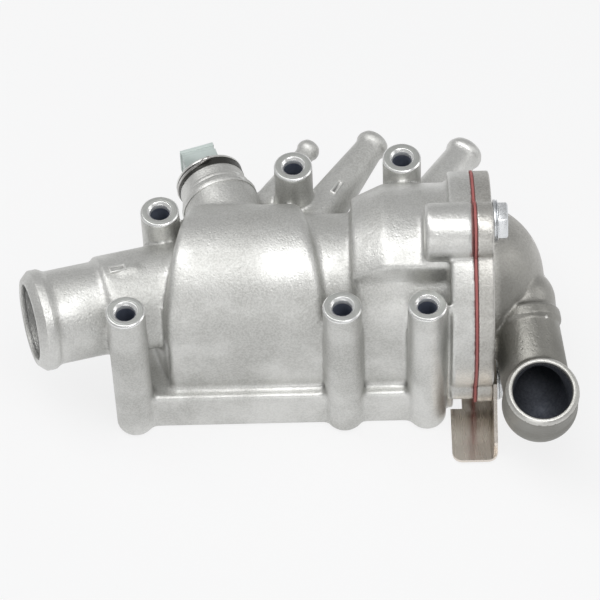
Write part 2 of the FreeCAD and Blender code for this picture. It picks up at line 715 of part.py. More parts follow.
def outlet_cover():
    plate = flange_plate("cover_plate", COVER_X, S.cover_t, S.flange_r, ZERO)
    solid = fused("cover_solid", [plate, dome("dome", S.dome_r, S.dome_start)] + outlet_pipe())
    room = dome("dome_room", S.dome_r - S.cover_wall, ZERO)
    holes = bolt_holes("cover_hole", COVER_X - S.over, COVER_FACE_X + S.over)
    return cut("outlet_cover", solid, fused("cover_rooms", [room] + pipe_rooms() + holes))


def cover_gasket():
    plate = flange_plate("gasket_plate", S.joint_x, S.gasket_t, S.flange_r + S.fit_gap, S.fit_gap)
    hole = turned("gasket_hole", [(S.joint_x - S.over, 0), (S.joint_x - S.over, S.recess_r + S.over),
                                  (COVER_X + S.over, S.recess_r + S.over), (COVER_X + S.over, 0)])
    put(hole, ZERO, S.axis_y, S.axis_z)
    holes = bolt_holes("gasket_hole", S.joint_x - S.over, COVER_X + S.over)
    return cut("cover_gasket", plate, fused("gasket_holes", [hole] + holes))


def cover_bolt(name, y, z):
    """A flanged hex bolt; the front one also clamps the bracket's tab."""
    under = COVER_FACE_X + (S.bracket_t if name == "front" else ZERO)
    body = new_body("cover_bolt_" + name)
    profile = sketch_on(body, "XZ_Plane", "bolt_profile")
    polygon(profile, [
        (S.head_flange_t, 0), (S.head_flange_t, S.head_flange_r - S.stud_bevel),
        (S.stud_bevel, S.head_flange_r), (0, S.head_flange_r), (0, S.bolt_r),
        (-S.bolt_length, S.bolt_r), (-S.bolt_length, 0),
    ])
    revolve(body, profile)
    hexagon = sketch_on(body, "YZ_Plane", "bolt_hexagon")
    side_angle = as_size(FULL_TURN / HEX_SIDES)
    corner = S.head_flats / (2 * cosine(side_angle / 2))
    polygon(hexagon, [(corner * cosine(i * side_angle), corner * sine(i * side_angle))
                      for i in range(HEX_SIDES)])
    pad(body, hexagon, S.head_height)
    return put(body, under, y, z)


def bracket():
    """A folded sheet: a flat plate under the joint and an upright tab under a cover bolt."""
    wall_x = COVER_FACE_X
    right = wall_x + S.bracket_t
    top = S.bracket_z + S.bracket_t
    plate = new_body("bracket_plate")
    plan = sketch_on(plate, "XY_Plane", "bracket_plan", S.bracket_z)
    notch_x, notch_y = S.slab_left + S.wall, S.axis_y - S.drum_r - S.over
    polygon(plan, [(S.bracket_left, -S.bracket_front), (right, -S.bracket_front),
                   (right, S.bracket_rear), (notch_x, S.bracket_rear), (notch_x, notch_y),
                   (S.bracket_left, notch_y)])
    pad(plate, plan, S.bracket_t)
    round_edges(plate, S.bracket_corner, lambda e: e.BoundBox.ZLength > TOUCH
                and e.BoundBox.XLength + e.BoundBox.YLength < TOUCH and e.BoundBox.YMin < 0)
    tab = new_body("bracket_tab")
    side = sketch_on(tab, "YZ_Plane", "bracket_side", wall_x)
    bolt_y, bolt_z, lobe = BOLTS["front"]
    high = bolt_z + S.tab_top
    polygon(side, [(-S.gusset_front, S.bracket_z), (S.bracket_rear, S.bracket_z),
                   (bolt_y + S.tab_back, high), (bolt_y - S.tab_back, high),
                   (-S.gusset_front, S.bracket_z + S.gusset_height)])
    pad(tab, side, S.bracket_t)
    hole = turned("tab_hole", [(wall_x - S.over, 0), (wall_x - S.over, S.hole_r),
                               (right + S.over, S.hole_r), (right + S.over, 0)])
    put(hole, ZERO, bolt_y, bolt_z)
    return cut("cover_bracket", fused("bracket_sheet", [plate, tab]), hole)


# Valve insert, all turned about the long axis

RING_W = S.recess_depth + S.gasket_t
SEAT_X = COVER_X - RING_W / 2
FRAME_R = S.recess_r - S.frame_inset
RING_INNER_R = FRAME_R - S.ring_grip
DISC_RIGHT = SEAT_X - S.frame_t / 2
DISC_LEFT = DISC_RIGHT - S.valve_disc_t
CAGE_LEFT = SEAT_X - S.cage_length
CAGE_LEG_R = RING_INNER_R - S.foot_gap - 3 * S.bridge_t
CAPSULE_LEFT = DISC_LEFT - S.capsule_back
BRIDGE_TOP = SEAT_X + S.frame_t / 2 + S.bridge_height
BYPASS_LEFT = S.bypass_wall_left + S.bypass_wall + S.valve_lift + S.shut_gap


def on_axis(item):
    return put(item, ZERO, S.axis_y, S.axis_z)


def valve_rim_ring():
    """The rubber ring that grips the valve frame's edge in the recess."""
    half = RING_W / 2
    slot = S.frame_t / 2 + S.seat_gap
    outer = S.recess_r - S.seat_gap
    return on_axis(turned("valve_rim_ring", [
        (SEAT_X - half, RING_INNER_R), (SEAT_X - half, outer), (SEAT_X + half, outer),
        (SEAT_X + half, RING_INNER_R), (SEAT_X + slot, RING_INNER_R),
        (SEAT_X + slot, FRAME_R + S.seat_gap), (SEAT_X - slot, FRAME_R + S.seat_gap),
        (SEAT_X - slot, RING_INNER_R),
    ]))


def valve_frame():
    """The pressed flange whose hole the valve disc closes."""
    half = S.frame_t / 2
    return on_axis(turned("valve_frame", [
        (SEAT_X - half, S.seat_r), (SEAT_X - half, FRAME_R), (SEAT_X + half, FRAME_R),
        (SEAT_X + half, S.seat_r),
    ]))


def valve_bridge():
    """The strap over the outlet side that holds the piston pin."""
    foot = SEAT_X + S.frame_t / 2
    thick, half = S.bridge_t, S.bridge_width / 2
    inner = S.capsule_r
    body = new_body("valve_bridge")
    strap = sketch_on(body, "XZ_Plane", "bridge_side")
    reach = S.bridge_foot_r
    polygon(strap, [
        (foot, -reach), (foot + thick, -reach), (foot + thick, -reach + 2 * thick),
        (BRIDGE_TOP, -inner), (BRIDGE_TOP, inner),
        (foot + thick, reach - 2 * thick), (foot + thick, reach), (foot, reach),
        (foot, reach - 3 * thick), (BRIDGE_TOP - thick, inner - thick),
        (BRIDGE_TOP - thick, thick - inner), (foot, 3 * thick - reach),
    ])
    pad(body, strap, 2 * half, both=True)
    return on_axis(body)


def spring_cage():
    """The strap on the engine side that the main spring pushes against."""
    back = SEAT_X - S.frame_t / 2
    thick, leg, half = S.bridge_t, CAGE_LEG_R, S.bridge_width / 2
    body = new_body("spring_cage")
    ring = sketch_on(body, "YZ_Plane", "cage_ring", CAGE_LEFT)
    circle(ring, ZERO, ZERO, S.cage_ring_r)
    circle(ring, ZERO, ZERO, S.cage_hole_r)
    pad(body, ring, thick)
    for way in (1, -1):
        side = sketch_on(body, "XZ_Plane", "cage_leg")
        polygon(side, [
            (CAGE_LEFT, way * (S.cage_ring_r - 2 * thick)), (CAGE_LEFT, way * leg),
            (back - thick, way * (leg + thick)), (back - thick, way * (leg + 3 * thick)),
            (back, way * (leg + 3 * thick)), (back, way * leg),
            (CAGE_LEFT + thick, way * (leg - thick)),
            (CAGE_LEFT + thick, way * (S.cage_ring_r - 2 * thick)),
        ])
        pad(body, side, 2 * half, both=True)
    return on_axis(body)


def valve_disc():
    return on_axis(turned("valve_disc", [
        (DISC_LEFT, S.capsule_r), (DISC_LEFT, S.valve_disc_r), (DISC_RIGHT, S.valve_disc_r),
        (DISC_RIGHT, S.capsule_r),
    ]))


def wax_capsule():
    """The brass capsule with a bore for the pin and a stem for the bypass disc."""
    front = DISC_RIGHT + S.capsule_front
    bore = S.pin_r + S.seat_gap
    return on_axis(turned("wax_capsule", [
        (BYPASS_LEFT - S.over, 0), (BYPASS_LEFT - S.over, S.stem_head_r),
        (BYPASS_LEFT, S.stem_head_r), (BYPASS_LEFT, S.stem_r), (CAPSULE_LEFT, S.stem_r),
        (CAPSULE_LEFT, S.capsule_r - S.over), (CAPSULE_LEFT + S.over, S.capsule_r),
        (front - S.wall, S.capsule_r), (front, S.capsule_r - S.over), (front, bore),
        (front - S.pin_depth, bore), (front - S.pin_depth, 0),
    ]))


def piston_pin():
    front = DISC_RIGHT + S.capsule_front
    tip = front - S.pin_depth + S.over
    return on_axis(turned("piston_pin", [(tip, 0), (tip, S.pin_r), (BRIDGE_TOP - S.bridge_t, S.pin_r),
                                         (BRIDGE_TOP - S.bridge_t, 0)]))


def bypass_disc():
    bore = S.stem_r + S.seat_gap
    return on_axis(turned("bypass_disc", [
        (BYPASS_LEFT, bore), (BYPASS_LEFT, S.bypass_disc_r),
        (BYPASS_LEFT + S.bypass_disc_t, S.bypass_disc_r), (BYPASS_LEFT + S.bypass_disc_t, bore),
    ]))


def coil(label, left, right, radius, wire, turns):
    """A coil spring along X between two faces, its wire's section swept along a helix."""
    start = left + wire + S.seat_gap
    length = right - left - 2 * (wire + S.seat_gap)
    body = new_body(label)
    section = sketch_on(body, "XZ_Plane", label + "_wire")
    circle(section, start, radius, wire)
    helix = body.newObject("PartDesign::AdditiveHelix", "Coil")
    helix.Profile = section
    helix.ReferenceAxis = (section, ["H_Axis"])
    helix.Mode = "height-turns-angle"
    helix.setExpression("Height", length.text)
    helix.setExpression("Turns", turns.text)
    return on_axis(body)


def main_spring():
    return coil("main_spring", CAGE_LEFT + S.bridge_t, DISC_LEFT, S.spring_r, S.spring_wire_r,
                S.spring_turns)


def bypass_spring():
    return coil("bypass_spring", BYPASS_LEFT + S.bypass_disc_t, CAPSULE_LEFT, S.small_spring_r,
                S.small_spring_wire_r, S.small_spring_turns)


# Temperature sensor in its boss

def at_sensor(item):
    return put(item, S.sensor_x, S.sensor_y, S.sensor_z, S.sensor_angle)


def sensor_body():
    """The moulded sensor: a shaft with a ring groove, a flange and a plug socket."""
    seat = S.sensor_rim - S.sensor_seat
    groove = S.ring_place + S.ring_groove
    body = turned("sensor_moulding", [
        (S.sensor_inner, 0), (S.sensor_inner, S.sensor_shaft_r), (S.ring_place, S.sensor_shaft_r),
        (S.ring_place, S.ring_groove_r), (groove, S.ring_groove_r), (groove, S.sensor_shaft_r),
        (seat, S.sensor_shaft_r), (seat, S.sensor_seat_r - S.fit_gap),
        (S.sensor_head, S.sensor_seat_r - S.fit_gap), (S.sensor_head, 0),
    ])
    socket = sketch_on(body, "YZ_Plane", "socket_outline", S.sensor_head)
    wide, high = S.socket_w / 2, S.socket_h / 2
    polygon(socket, [(-wide, -high), (wide, -high), (wide, high), (-wide, high)])
    pad(body, socket, S.socket_end - S.sensor_head)
    room = sketch_on(body, "YZ_Plane", "socket_room", S.socket_end - S.socket_depth)
    wide, high = wide - S.socket_wall, high - S.socket_wall
    polygon(room, [(-wide, -high), (wide, -high), (wide, high), (-wide, high)])
    pocket(body, room, S.socket_depth + S.over, back=True)
    body.Label = "sensor_body"
    return at_sensor(body)


def sensor_probe():
    tip = S.sensor_inner - S.probe_length
    return at_sensor(turned("sensor_probe", [(tip, 0), (tip, S.probe_r - S.over),
                                             (tip + S.over, S.probe_r), (S.sensor_inner, S.probe_r),
                                             (S.sensor_inner, 0)]))


def sensor_ring():
    middle = S.ring_place + S.ring_groove / 2
    ring = doc.addObject("Part::Torus", "sensor_ring")
    ring.Label = "sensor_ring"
    major = S.ring_groove_r + S.ring_wire_r + S.seat_gap / 2
    ring.setExpression("Radius1", major.text)
    ring.setExpression("Radius2", S.ring_wire_r.text)
    return put(ring, S.sensor_x + middle * cosine(S.sensor_angle),
               S.sensor_y + middle * sine(S.sensor_angle), S.sensor_z, S.sensor_angle, as_size(QUARTER_TURN))


def sensor_clip():
    """The spring wire that lies in the groove around the boss, open at one side."""
    middle = S.clip_place + S.clip_wire_r
    ring = doc.addObject("Part::Torus", "sensor_clip")
    ring.Label = "sensor_clip"
    major = S.sensor_rim_r - S.clip_groove + S.clip_wire_r + S.seat_gap
    ring.setExpression("Radius1", major.text)
    ring.setExpression("Radius2", (S.clip_wire_r - S.seat_gap).text)
    ring.setExpression("Angle3", (FULL_TURN - S.clip_end_gap).text)
    return put(ring, S.sensor_x + middle * cosine(S.sensor_angle),
               S.sensor_y + middle * sine(S.sensor_angle), S.sensor_z, S.sensor_angle, as_size(QUARTER_TURN))


def sensor_terminal(name, way):
    back = S.socket_end - S.socket_depth
    half = S.terminal_t / 2
    across = way * S.terminal_pitch / 2
    body = new_body("sensor_terminal_" + name)
    outline = sketch_on(body, "YZ_Plane", "terminal_outline", back)
    wide = S.terminal_w / 2
    polygon(outline, [(across - wide, -half), (across + wide, -half), (across + wide, half),
                      (across - wide, half)])
    pad(body, outline, S.terminal_length)
    return at_sensor(body)


# Building, checking and writing

NODES = [housing_body(), mounting_seal(), outlet_cover(), cover_gasket(), bracket()]
NODES += [cover_bolt(name, y, z) for name, (y, z, lobe) in BOLTS.items()]
NODES += [valve_rim_ring(), valve_frame(), valve_bridge(), spring_cage(), valve_disc(),
          wax_capsule(), piston_pin(), bypass_disc(), main_spring(), bypass_spring()]
NODES += [sensor_body(), sensor_probe(), sensor_ring(), sensor_clip(),
          sensor_terminal("left", 1), sensor_terminal("right", -1)]
doc.recompute()

for item in doc.Objects:
    if "Invalid" in item.State or "Error" in item.State:
        raise RuntimeError("failed object: %s %s" % (item.Label, item.State))
for node in NODES:
    shape = node.Shape
    if shape.isNull() or not shape.isValid():
        raise RuntimeError("bad shape: " + node.Label)
    shape.exportStep("parts/%s.step" % node.Label)
    print("%-24s %8.2f cm3  %d solid(s)" % (node.Label, shape.Volume / 1000, len(shape.Solids)))
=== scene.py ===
import math

import bpy
from mathutils import Matrix, Vector


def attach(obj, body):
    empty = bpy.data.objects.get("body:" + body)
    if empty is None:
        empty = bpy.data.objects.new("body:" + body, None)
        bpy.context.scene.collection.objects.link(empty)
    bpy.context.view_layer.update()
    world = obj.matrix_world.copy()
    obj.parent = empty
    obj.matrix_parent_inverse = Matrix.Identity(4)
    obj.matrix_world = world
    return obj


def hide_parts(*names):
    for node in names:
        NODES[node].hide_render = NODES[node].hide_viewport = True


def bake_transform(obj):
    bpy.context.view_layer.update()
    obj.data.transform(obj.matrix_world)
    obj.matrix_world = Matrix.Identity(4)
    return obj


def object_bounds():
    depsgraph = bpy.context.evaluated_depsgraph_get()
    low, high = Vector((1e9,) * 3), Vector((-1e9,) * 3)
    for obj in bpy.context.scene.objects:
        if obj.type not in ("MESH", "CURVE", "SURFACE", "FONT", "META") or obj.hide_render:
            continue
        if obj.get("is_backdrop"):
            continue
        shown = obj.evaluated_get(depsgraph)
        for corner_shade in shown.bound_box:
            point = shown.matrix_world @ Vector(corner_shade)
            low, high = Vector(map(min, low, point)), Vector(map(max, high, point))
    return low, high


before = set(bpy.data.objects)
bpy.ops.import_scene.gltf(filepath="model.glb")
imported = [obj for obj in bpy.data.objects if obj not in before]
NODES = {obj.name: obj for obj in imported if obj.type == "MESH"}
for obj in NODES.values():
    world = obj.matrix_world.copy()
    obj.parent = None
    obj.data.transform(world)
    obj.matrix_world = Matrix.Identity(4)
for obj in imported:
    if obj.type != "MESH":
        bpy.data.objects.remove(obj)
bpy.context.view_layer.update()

MM = 0.001

# The six stud tubes: their axes, their outer and bore radius and the height of their ends
STUDS_MM = {
    "front_left": (0.0, 0.0), "front_mid": (72.4, 0.0), "front_right": (100.8, 0.0),
    "rear_left": (10.8, 43.1), "rear_mid": (56.5, 61.8), "rear_right": (94.0, 64.4),
}
STUD_R = 6.65
STUD_BORE_R = 3.5
STUD_TOP = 63.0


# Camera at the photograph's angle, found from the six stud tubes

ELEVATION = math.radians(52.0)
TURN = 0.0240
LEAN = -0.0422
EYE_MM = (75.481, -709.238, 975.140)
LENS = 208.14
SENSOR = 36.0
NEAR, FAR = 0.05, 20.0


def set_camera():
    """Looks at the part from the front and above, a little turned and leaning."""
    right = Vector((math.cos(TURN), math.sin(TURN), 0.0))
    back = Vector((math.sin(TURN) * math.cos(ELEVATION), -math.cos(TURN) * math.cos(ELEVATION),
                   math.sin(ELEVATION)))
    up = back.cross(right)
    across = right * math.cos(LEAN) + up * math.sin(LEAN)
    upward = up * math.cos(LEAN) - right * math.sin(LEAN)
    data = bpy.data.cameras.new("photo_camera")
    data.lens = LENS
    data.sensor_width = SENSOR
    data.clip_start = NEAR
    data.clip_end = FAR
    camera = bpy.data.objects.new("photo_camera", data)
    bpy.context.scene.collection.objects.link(camera)
    turned = Matrix((across, upward, back)).transposed().to_4x4()
    camera.matrix_world = Matrix.Translation(Vector(EYE_MM) * MM) @ turned
    bpy.context.scene.camera = camera


set_camera()


# Node groups and materials

class Graph:
    """Short calls for adding and joining shader nodes."""

    def __init__(self, tree):
        self.tree = tree

    def add(self, kind, **values):
        node = self.tree.nodes.new(kind)
        for name, value in values.items():
            setattr(node, name, value)
        return node

    def join(self, out, into):
        self.tree.links.new(out, into)

    def put(self, value, into):
        """Joins another node's output, or sets a plain value."""
        if isinstance(value, bpy.types.NodeSocket):
            self.join(value, into)
        else:
            into.default_value = value

    def noise(self, place, scale, detail=2.0, rough=0.5):
        node = self.add("ShaderNodeTexNoise")
        self.join(place, node.inputs["Vector"])
        self.put(scale, node.inputs["Scale"])
        node.inputs["Detail"].default_value = detail
        node.inputs["Roughness"].default_value = rough
        return node.outputs["Fac"]

    def ramp(self, fac, low, high, dark=0.0, bright=1.0):
        """Stretches low to high into dark to bright, held at both ends."""
        node = self.add("ShaderNodeMapRange", interpolation_type="SMOOTHSTEP")
        self.put(fac, node.inputs["Value"])
        limits = {"From Min": low, "From Max": high, "To Min": dark, "To Max": bright}
        for name, value in limits.items():
            node.inputs[name].default_value = value
        return node.outputs["Result"]

    def math(self, kind, a, b=0.0):
        node = self.add("ShaderNodeMath", operation=kind)
        self.put(a, node.inputs[0])
        self.put(b, node.inputs[1])
        return node.outputs[0]

    def blend(self, fac, a, b):
        """Colour a where fac is 0 and colour b where it is 1."""
        node = self.add("ShaderNodeMix", data_type="RGBA")
        self.put(fac, node.inputs["Factor"])
        self.put(a, node.inputs["A"])
        self.put(b, node.inputs["B"])
        return node.outputs["Result"]


def colour(red, green, blue):
    return (red, green, blue, 1.0)


def new_group(name, inputs, outputs):
    """A shared node group. An input without a value is a place."""
    tree = bpy.data.node_groups.new(name, "ShaderNodeTree")
    for label, value in inputs:
        kind = "NodeSocketVector" if value is None else "NodeSocketFloat"
        socket = tree.interface.new_socket(label, in_out="INPUT", socket_type=kind)
        if value is not None:
            socket.default_value = value
    for label in outputs:
        tree.interface.new_socket(label, in_out="OUTPUT", socket_type="NodeSocketFloat")
    graph = Graph(tree)
    return graph, graph.add("NodeGroupInput"), graph.add("NodeGroupOutput")


# Sizes of the patterns: at a scale of 1000 they repeat about every millimetre
CAST_GRAIN = 1500.0
LUMP_GRAIN_SHARE = 0.28
CLOUD_SCALE = 34.0
PIT_SCALE = 420.0
RING_SPACING = 9000.0
RING_HAZE_SCALE = 2500.0
WEAR_AND_SHADE_SPREAD = 0.045


def build_cast_skin():
    """Sand-cast surface: fine grain, soft lumps, dark pits and cloudy tone."""
    graph, given, made = new_group("cast_skin", [("Place", None), ("Grain", CAST_GRAIN)],
                                   ["Height", "Cloud", "Speck"])
    place = given.outputs["Place"]
    fine = graph.noise(place, given.outputs["Grain"], 3.0, 0.65)
    lump_scale = graph.math("MULTIPLY", given.outputs["Grain"], LUMP_GRAIN_SHARE)
    lump = graph.noise(place, lump_scale, 2.0)
    cloud = graph.noise(place, CLOUD_SCALE, 4.0, 0.6)
    pits = graph.add("ShaderNodeTexVoronoi", feature="F1")
    graph.join(place, pits.inputs["Vector"])
    pits.inputs["Scale"].default_value = PIT_SCALE
    pit = graph.ramp(pits.outputs["Distance"], 0.08, 0.22, -0.28, 0.0)
    grainy = graph.math("MULTIPLY", fine, 0.75)
    height = graph.math("ADD", grainy, graph.math("MULTIPLY", lump, 0.6))
    graph.join(graph.math("ADD", height, pit), made.inputs["Height"])
    graph.join(graph.ramp(cloud, 0.32, 0.70), made.inputs["Cloud"])
    graph.join(graph.ramp(fine, 0.36, 0.62), made.inputs["Speck"])
    return graph.tree


def build_edge_wear_and_corner_shade():
    """Bright wear on outward edges and painted shade in inner corners, from the mesh's own
    curvature.
    """
    graph, given, made = new_group("edge_wear_and_corner_shade", [("Edge Start", 0.52), ("Corner Start", 0.48)],
                                   ["Edge", "Corner Shade"])
    shape = graph.add("ShaderNodeNewGeometry").outputs["Pointiness"]
    over = graph.math("SUBTRACT", shape, given.outputs["Edge Start"])
    under = graph.math("SUBTRACT", given.outputs["Corner Start"], shape)
    graph.join(graph.ramp(over, 0.0, WEAR_AND_SHADE_SPREAD), made.inputs["Edge"])
    graph.join(graph.ramp(under, 0.0, WEAR_AND_SHADE_SPREAD), made.inputs["Corner Shade"])
    return graph.tree


def build_turned_marks():
    """Fine rings of a lathe or mill around the origin of the place."""
    graph, given, made = new_group("turned_marks", [("Place", None), ("Spacing", RING_SPACING)],
                                   ["Height"])
    length = graph.add("ShaderNodeVectorMath", operation="LENGTH")
    graph.join(given.outputs["Place"], length.inputs[0])
    turns = graph.math("MULTIPLY", length.outputs["Value"], given.outputs["Spacing"])
    wave = graph.math("SINE", turns)
    haze = graph.noise(given.outputs["Place"], RING_HAZE_SCALE, 2.0)
    graph.join(graph.math("ADD", wave, haze), made.inputs["Height"])
    return graph.tree


CAST_SKIN = build_cast_skin()
EDGE_WEAR_AND_CORNER_SHADE = build_edge_wear_and_corner_shade()
TURNED_MARKS = build_turned_marks()


def new_material(name, metallic, rough=0.5):
    material = bpy.data.materials.new(name)
    material.use_nodes = True
    graph = Graph(material.node_tree)
    shader = material.node_tree.nodes["Principled BSDF"]
    shader.inputs["Metallic"].default_value = metallic
    shader.inputs["Roughness"].default_value = rough
    return material, graph, shader


def object_place(graph, centre=(0.0, 0.0, 0.0), stretch=(1.0, 1.0, 1.0)):
    """The place on the piece in metres, from a centre and stretched along each axis."""
    place = graph.add("ShaderNodeTexCoord").outputs["Object"]
    mapping = graph.add("ShaderNodeMapping")
    graph.join(place, mapping.inputs["Vector"])
    mapping.inputs["Location"].default_value = [-c * s for c, s in zip(centre, stretch)]
    mapping.inputs["Scale"].default_value = stretch
    return mapping.outputs["Vector"]


def bump(graph, shader, height, depth):
    """Relief of the given depth in metres."""
    node = graph.add("ShaderNodeBump")
    node.inputs["Strength"].default_value = 1.0
    node.inputs["Distance"].default_value = depth
    graph.join(height, node.inputs["Height"])
    graph.join(node.outputs["Normal"], shader.inputs["Normal"])


CAST_METALLIC = 0.92
SPECK_SHARE, CORNER_SHADE_SHARE, EDGE_SHARE, FRONT_TONE_SHARE = 0.30, 0.75, 0.70, 0.85
FRONT_TONE_WAVE_SCALE, FRONT_TONE_WAVE, FRONT_TONE_FADE = 60.0, 0.008, 0.003
EDGE_POLISH = 0.10


def cast_metal(name, dark, light, edge, corner_shade, grain=CAST_GRAIN, depth=0.00016,
               rough=(0.36, 0.54), darker_front=None):
    """Sand-cast aluminium with cloudy tone, bright worn edges and painted shade in inner corners.

    The last argument, when given, holds a darker brown colour, the Y in metres where the plain tone
    still holds, the Y where the darker colour is full, and the X where it starts."""
    material, graph, shader = new_material(name, CAST_METALLIC)
    place = object_place(graph)
    skin = graph.add("ShaderNodeGroup", node_tree=CAST_SKIN)
    graph.join(place, skin.inputs["Place"])
    skin.inputs["Grain"].default_value = grain
    wear_and_shade = graph.add("ShaderNodeGroup", node_tree=EDGE_WEAR_AND_CORNER_SHADE)
    tone = graph.blend(skin.outputs["Cloud"], dark, light)
    tone = graph.blend(graph.math("MULTIPLY", skin.outputs["Speck"], SPECK_SHARE), tone, edge)
    # Towards the front, at low Y, the colour turns to the given darker brown.
    if darker_front:
        tone_patch, plain_y, full_y, side = darker_front
        split = graph.add("ShaderNodeSeparateXYZ")
        graph.join(place, split.inputs[0])
        wave = graph.noise(place, FRONT_TONE_WAVE_SCALE, 3.0)
        along = graph.math("ADD", split.outputs["Y"], graph.math("MULTIPLY", wave, FRONT_TONE_WAVE))
        amount = graph.math("MULTIPLY", graph.ramp(along, full_y, plain_y, FRONT_TONE_SHARE, 0.0),
                            graph.ramp(split.outputs["X"], side, side + FRONT_TONE_FADE))
        tone = graph.blend(amount, tone, tone_patch)
    # Painted shade: inner corners are darkened towards the corner colour.
    tone = graph.blend(graph.math("MULTIPLY", wear_and_shade.outputs["Corner Shade"], CORNER_SHADE_SHARE), tone, corner_shade)
    tone = graph.blend(graph.math("MULTIPLY", wear_and_shade.outputs["Edge"], EDGE_SHARE), tone, edge)
    graph.join(tone, shader.inputs["Base Color"])
    gloss = graph.ramp(skin.outputs["Cloud"], 0.0, 1.0, rough[1], rough[0])
    polish = graph.math("MULTIPLY", wear_and_shade.outputs["Edge"], EDGE_POLISH)
    graph.join(graph.math("SUBTRACT", gloss, polish), shader.inputs["Roughness"])
    bump(graph, shader, skin.outputs["Height"], depth)
    return material


def milled_metal(name, centre, tone, dull, rough=0.30):
    """Machined face: fine rings around its centre and light stains."""
    material, graph, shader = new_material(name, 1.0, rough)
    place = object_place(graph, centre)
    marks = graph.add("ShaderNodeGroup", node_tree=TURNED_MARKS)
    graph.join(place, marks.inputs["Place"])
    tone_patch = graph.ramp(graph.noise(place, 260.0, 3.0), 0.40, 0.72)
    graph.join(graph.blend(tone_patch, tone, dull), shader.inputs["Base Color"])
    graph.join(graph.ramp(tone_patch, 0.0, 1.0, rough, rough + 0.16), shader.inputs["Roughness"])
    bump(graph, shader, marks.outputs["Height"], 0.000012)
    return material


def plain_finish(name, metallic, rough, low, high, grain, depth, stretch=(1.0, 1.0, 1.0)):
    """Rubber, plastic, wire or sheet: two tones of one colour, grain and light edge wear."""
    material, graph, shader = new_material(name, metallic, rough)
    place = object_place(graph, stretch=stretch)
    fine = graph.noise(place, grain, 3.0)
    cloud = graph.ramp(graph.noise(place, 90.0, 3.0), 0.35, 0.68)
    wear_and_shade = graph.add("ShaderNodeGroup", node_tree=EDGE_WEAR_AND_CORNER_SHADE)
    tone = graph.blend(cloud, low, high)
    worn = tuple(min(1.0, c * 1.35 + 0.02) for c in high[:3]) + (1.0,)
    graph.join(graph.blend(graph.math("MULTIPLY", wear_and_shade.outputs["Edge"], 0.5), tone, worn),
               shader.inputs["Base Color"])
    graph.join(graph.ramp(fine, 0.3, 0.7, rough - 0.06, rough + 0.08), shader.inputs["Roughness"])
    bump(graph, shader, fine, depth)
    return material


# The fifth argument of each cast metal is the colour of the painted shade in its inner corners.
CAST = cast_metal("cast_aluminium_skin", colour(0.50, 0.50, 0.48), colour(0.66, 0.66, 0.64),
                  colour(0.88, 0.88, 0.86), colour(0.25, 0.25, 0.24))
COVER_CAST = cast_metal("cover_aluminium_skin", colour(0.39, 0.38, 0.355), colour(0.51, 0.50, 0.47),
                        colour(0.80, 0.79, 0.76), colour(0.22, 0.215, 0.20), grain=1300.0,
                        darker_front=(colour(0.20, 0.196, 0.178), 0.052, 0.000, 0.1236))
# Insides of the rooms, bores and outlet pipe: a dark oxidised cast skin, made darker and bluer
# still as painted shade.
INNER_SKIN_AND_SHADE = cast_metal("inner_skin_and_shade", colour(0.085, 0.093, 0.112), colour(0.14, 0.152, 0.18),
                        colour(0.24, 0.25, 0.28), colour(0.045, 0.050, 0.062), grain=1100.0,
                        rough=(0.55, 0.75))
RIM_METAL = cast_metal("rim_metal", colour(0.62, 0.62, 0.60), colour(0.76, 0.76, 0.74),
                       colour(0.92, 0.92, 0.90), colour(0.34, 0.34, 0.33), grain=2600.0,
                       depth=0.00004, rough=(0.26, 0.40))
CUT_EDGE = cast_metal("cut_edge", colour(0.78, 0.79, 0.78), colour(0.90, 0.90, 0.89),
                      colour(0.96, 0.96, 0.95), colour(0.50, 0.50, 0.50), grain=3000.0,
                      depth=0.00002, rough=(0.20, 0.32))
BORE_LIP = plain_finish("bore_lip", 0.2, 0.35, colour(0.70, 0.71, 0.72),
                        colour(0.82, 0.83, 0.84), 2600.0, 0.00002)
# Painted shade: a dark bluish colour for the stud bores' walls below their lip.
BORE_SHADE = plain_finish("bore_shade", 0.1, 0.45, colour(0.15, 0.17, 0.225),
                         colour(0.24, 0.265, 0.33), 2200.0, 0.00002)
MOUTH_METAL = cast_metal("mouth_metal", colour(0.42, 0.415, 0.39), colour(0.56, 0.555, 0.53),
                         colour(0.78, 0.77, 0.74), colour(0.22, 0.215, 0.20), grain=2000.0,
                         depth=0.00006, rough=(0.30, 0.44))
# Painted shade: near-black cast metal for the sensor clip's groove.
GROOVE_SHADE = cast_metal("groove_shade", colour(0.018, 0.019, 0.018), colour(0.036, 0.037, 0.034),
                         colour(0.08, 0.08, 0.074), colour(0.01, 0.01, 0.01), grain=1600.0)
RED_GASKET = plain_finish("gasket_red", 0.0, 0.62, colour(0.30, 0.075, 0.07),
                          colour(0.42, 0.13, 0.12), 1800.0, 0.00005)
BLACK_RUBBER = plain_finish("seal_rubber", 0.0, 0.55, colour(0.018, 0.018, 0.018),
                            colour(0.035, 0.034, 0.033), 1600.0, 0.00004)
SHEET_STEEL = plain_finish("bracket_sheet", 1.0, 0.24, colour(0.50, 0.46, 0.41),
                           colour(0.68, 0.63, 0.575), 700.0, 0.00002, (1.0, 0.08, 1.0))
ZINC = plain_finish("bolt_zinc", 1.0, 0.30, colour(0.62, 0.64, 0.66), colour(0.78, 0.80, 0.82),
                    1400.0, 0.00003)
BRASS = plain_finish("valve_brass", 1.0, 0.32, colour(0.50, 0.36, 0.16), colour(0.66, 0.50, 0.26),
                     1200.0, 0.00002)
SPRING_STEEL = plain_finish("valve_steel", 1.0, 0.32, colour(0.46, 0.45, 0.43),
                            colour(0.60, 0.59, 0.57), 1200.0, 0.00002)
CONNECTOR = plain_finish("connector_plastic", 0.0, 0.42, colour(0.45, 0.51, 0.48),
                         colour(0.63, 0.70, 0.665), 1500.0, 0.00003)
WIRE = plain_finish("clip_steel", 1.0, 0.20, colour(0.30, 0.29, 0.28), colour(0.62, 0.61, 0.60),
                    1500.0, 0.00002)
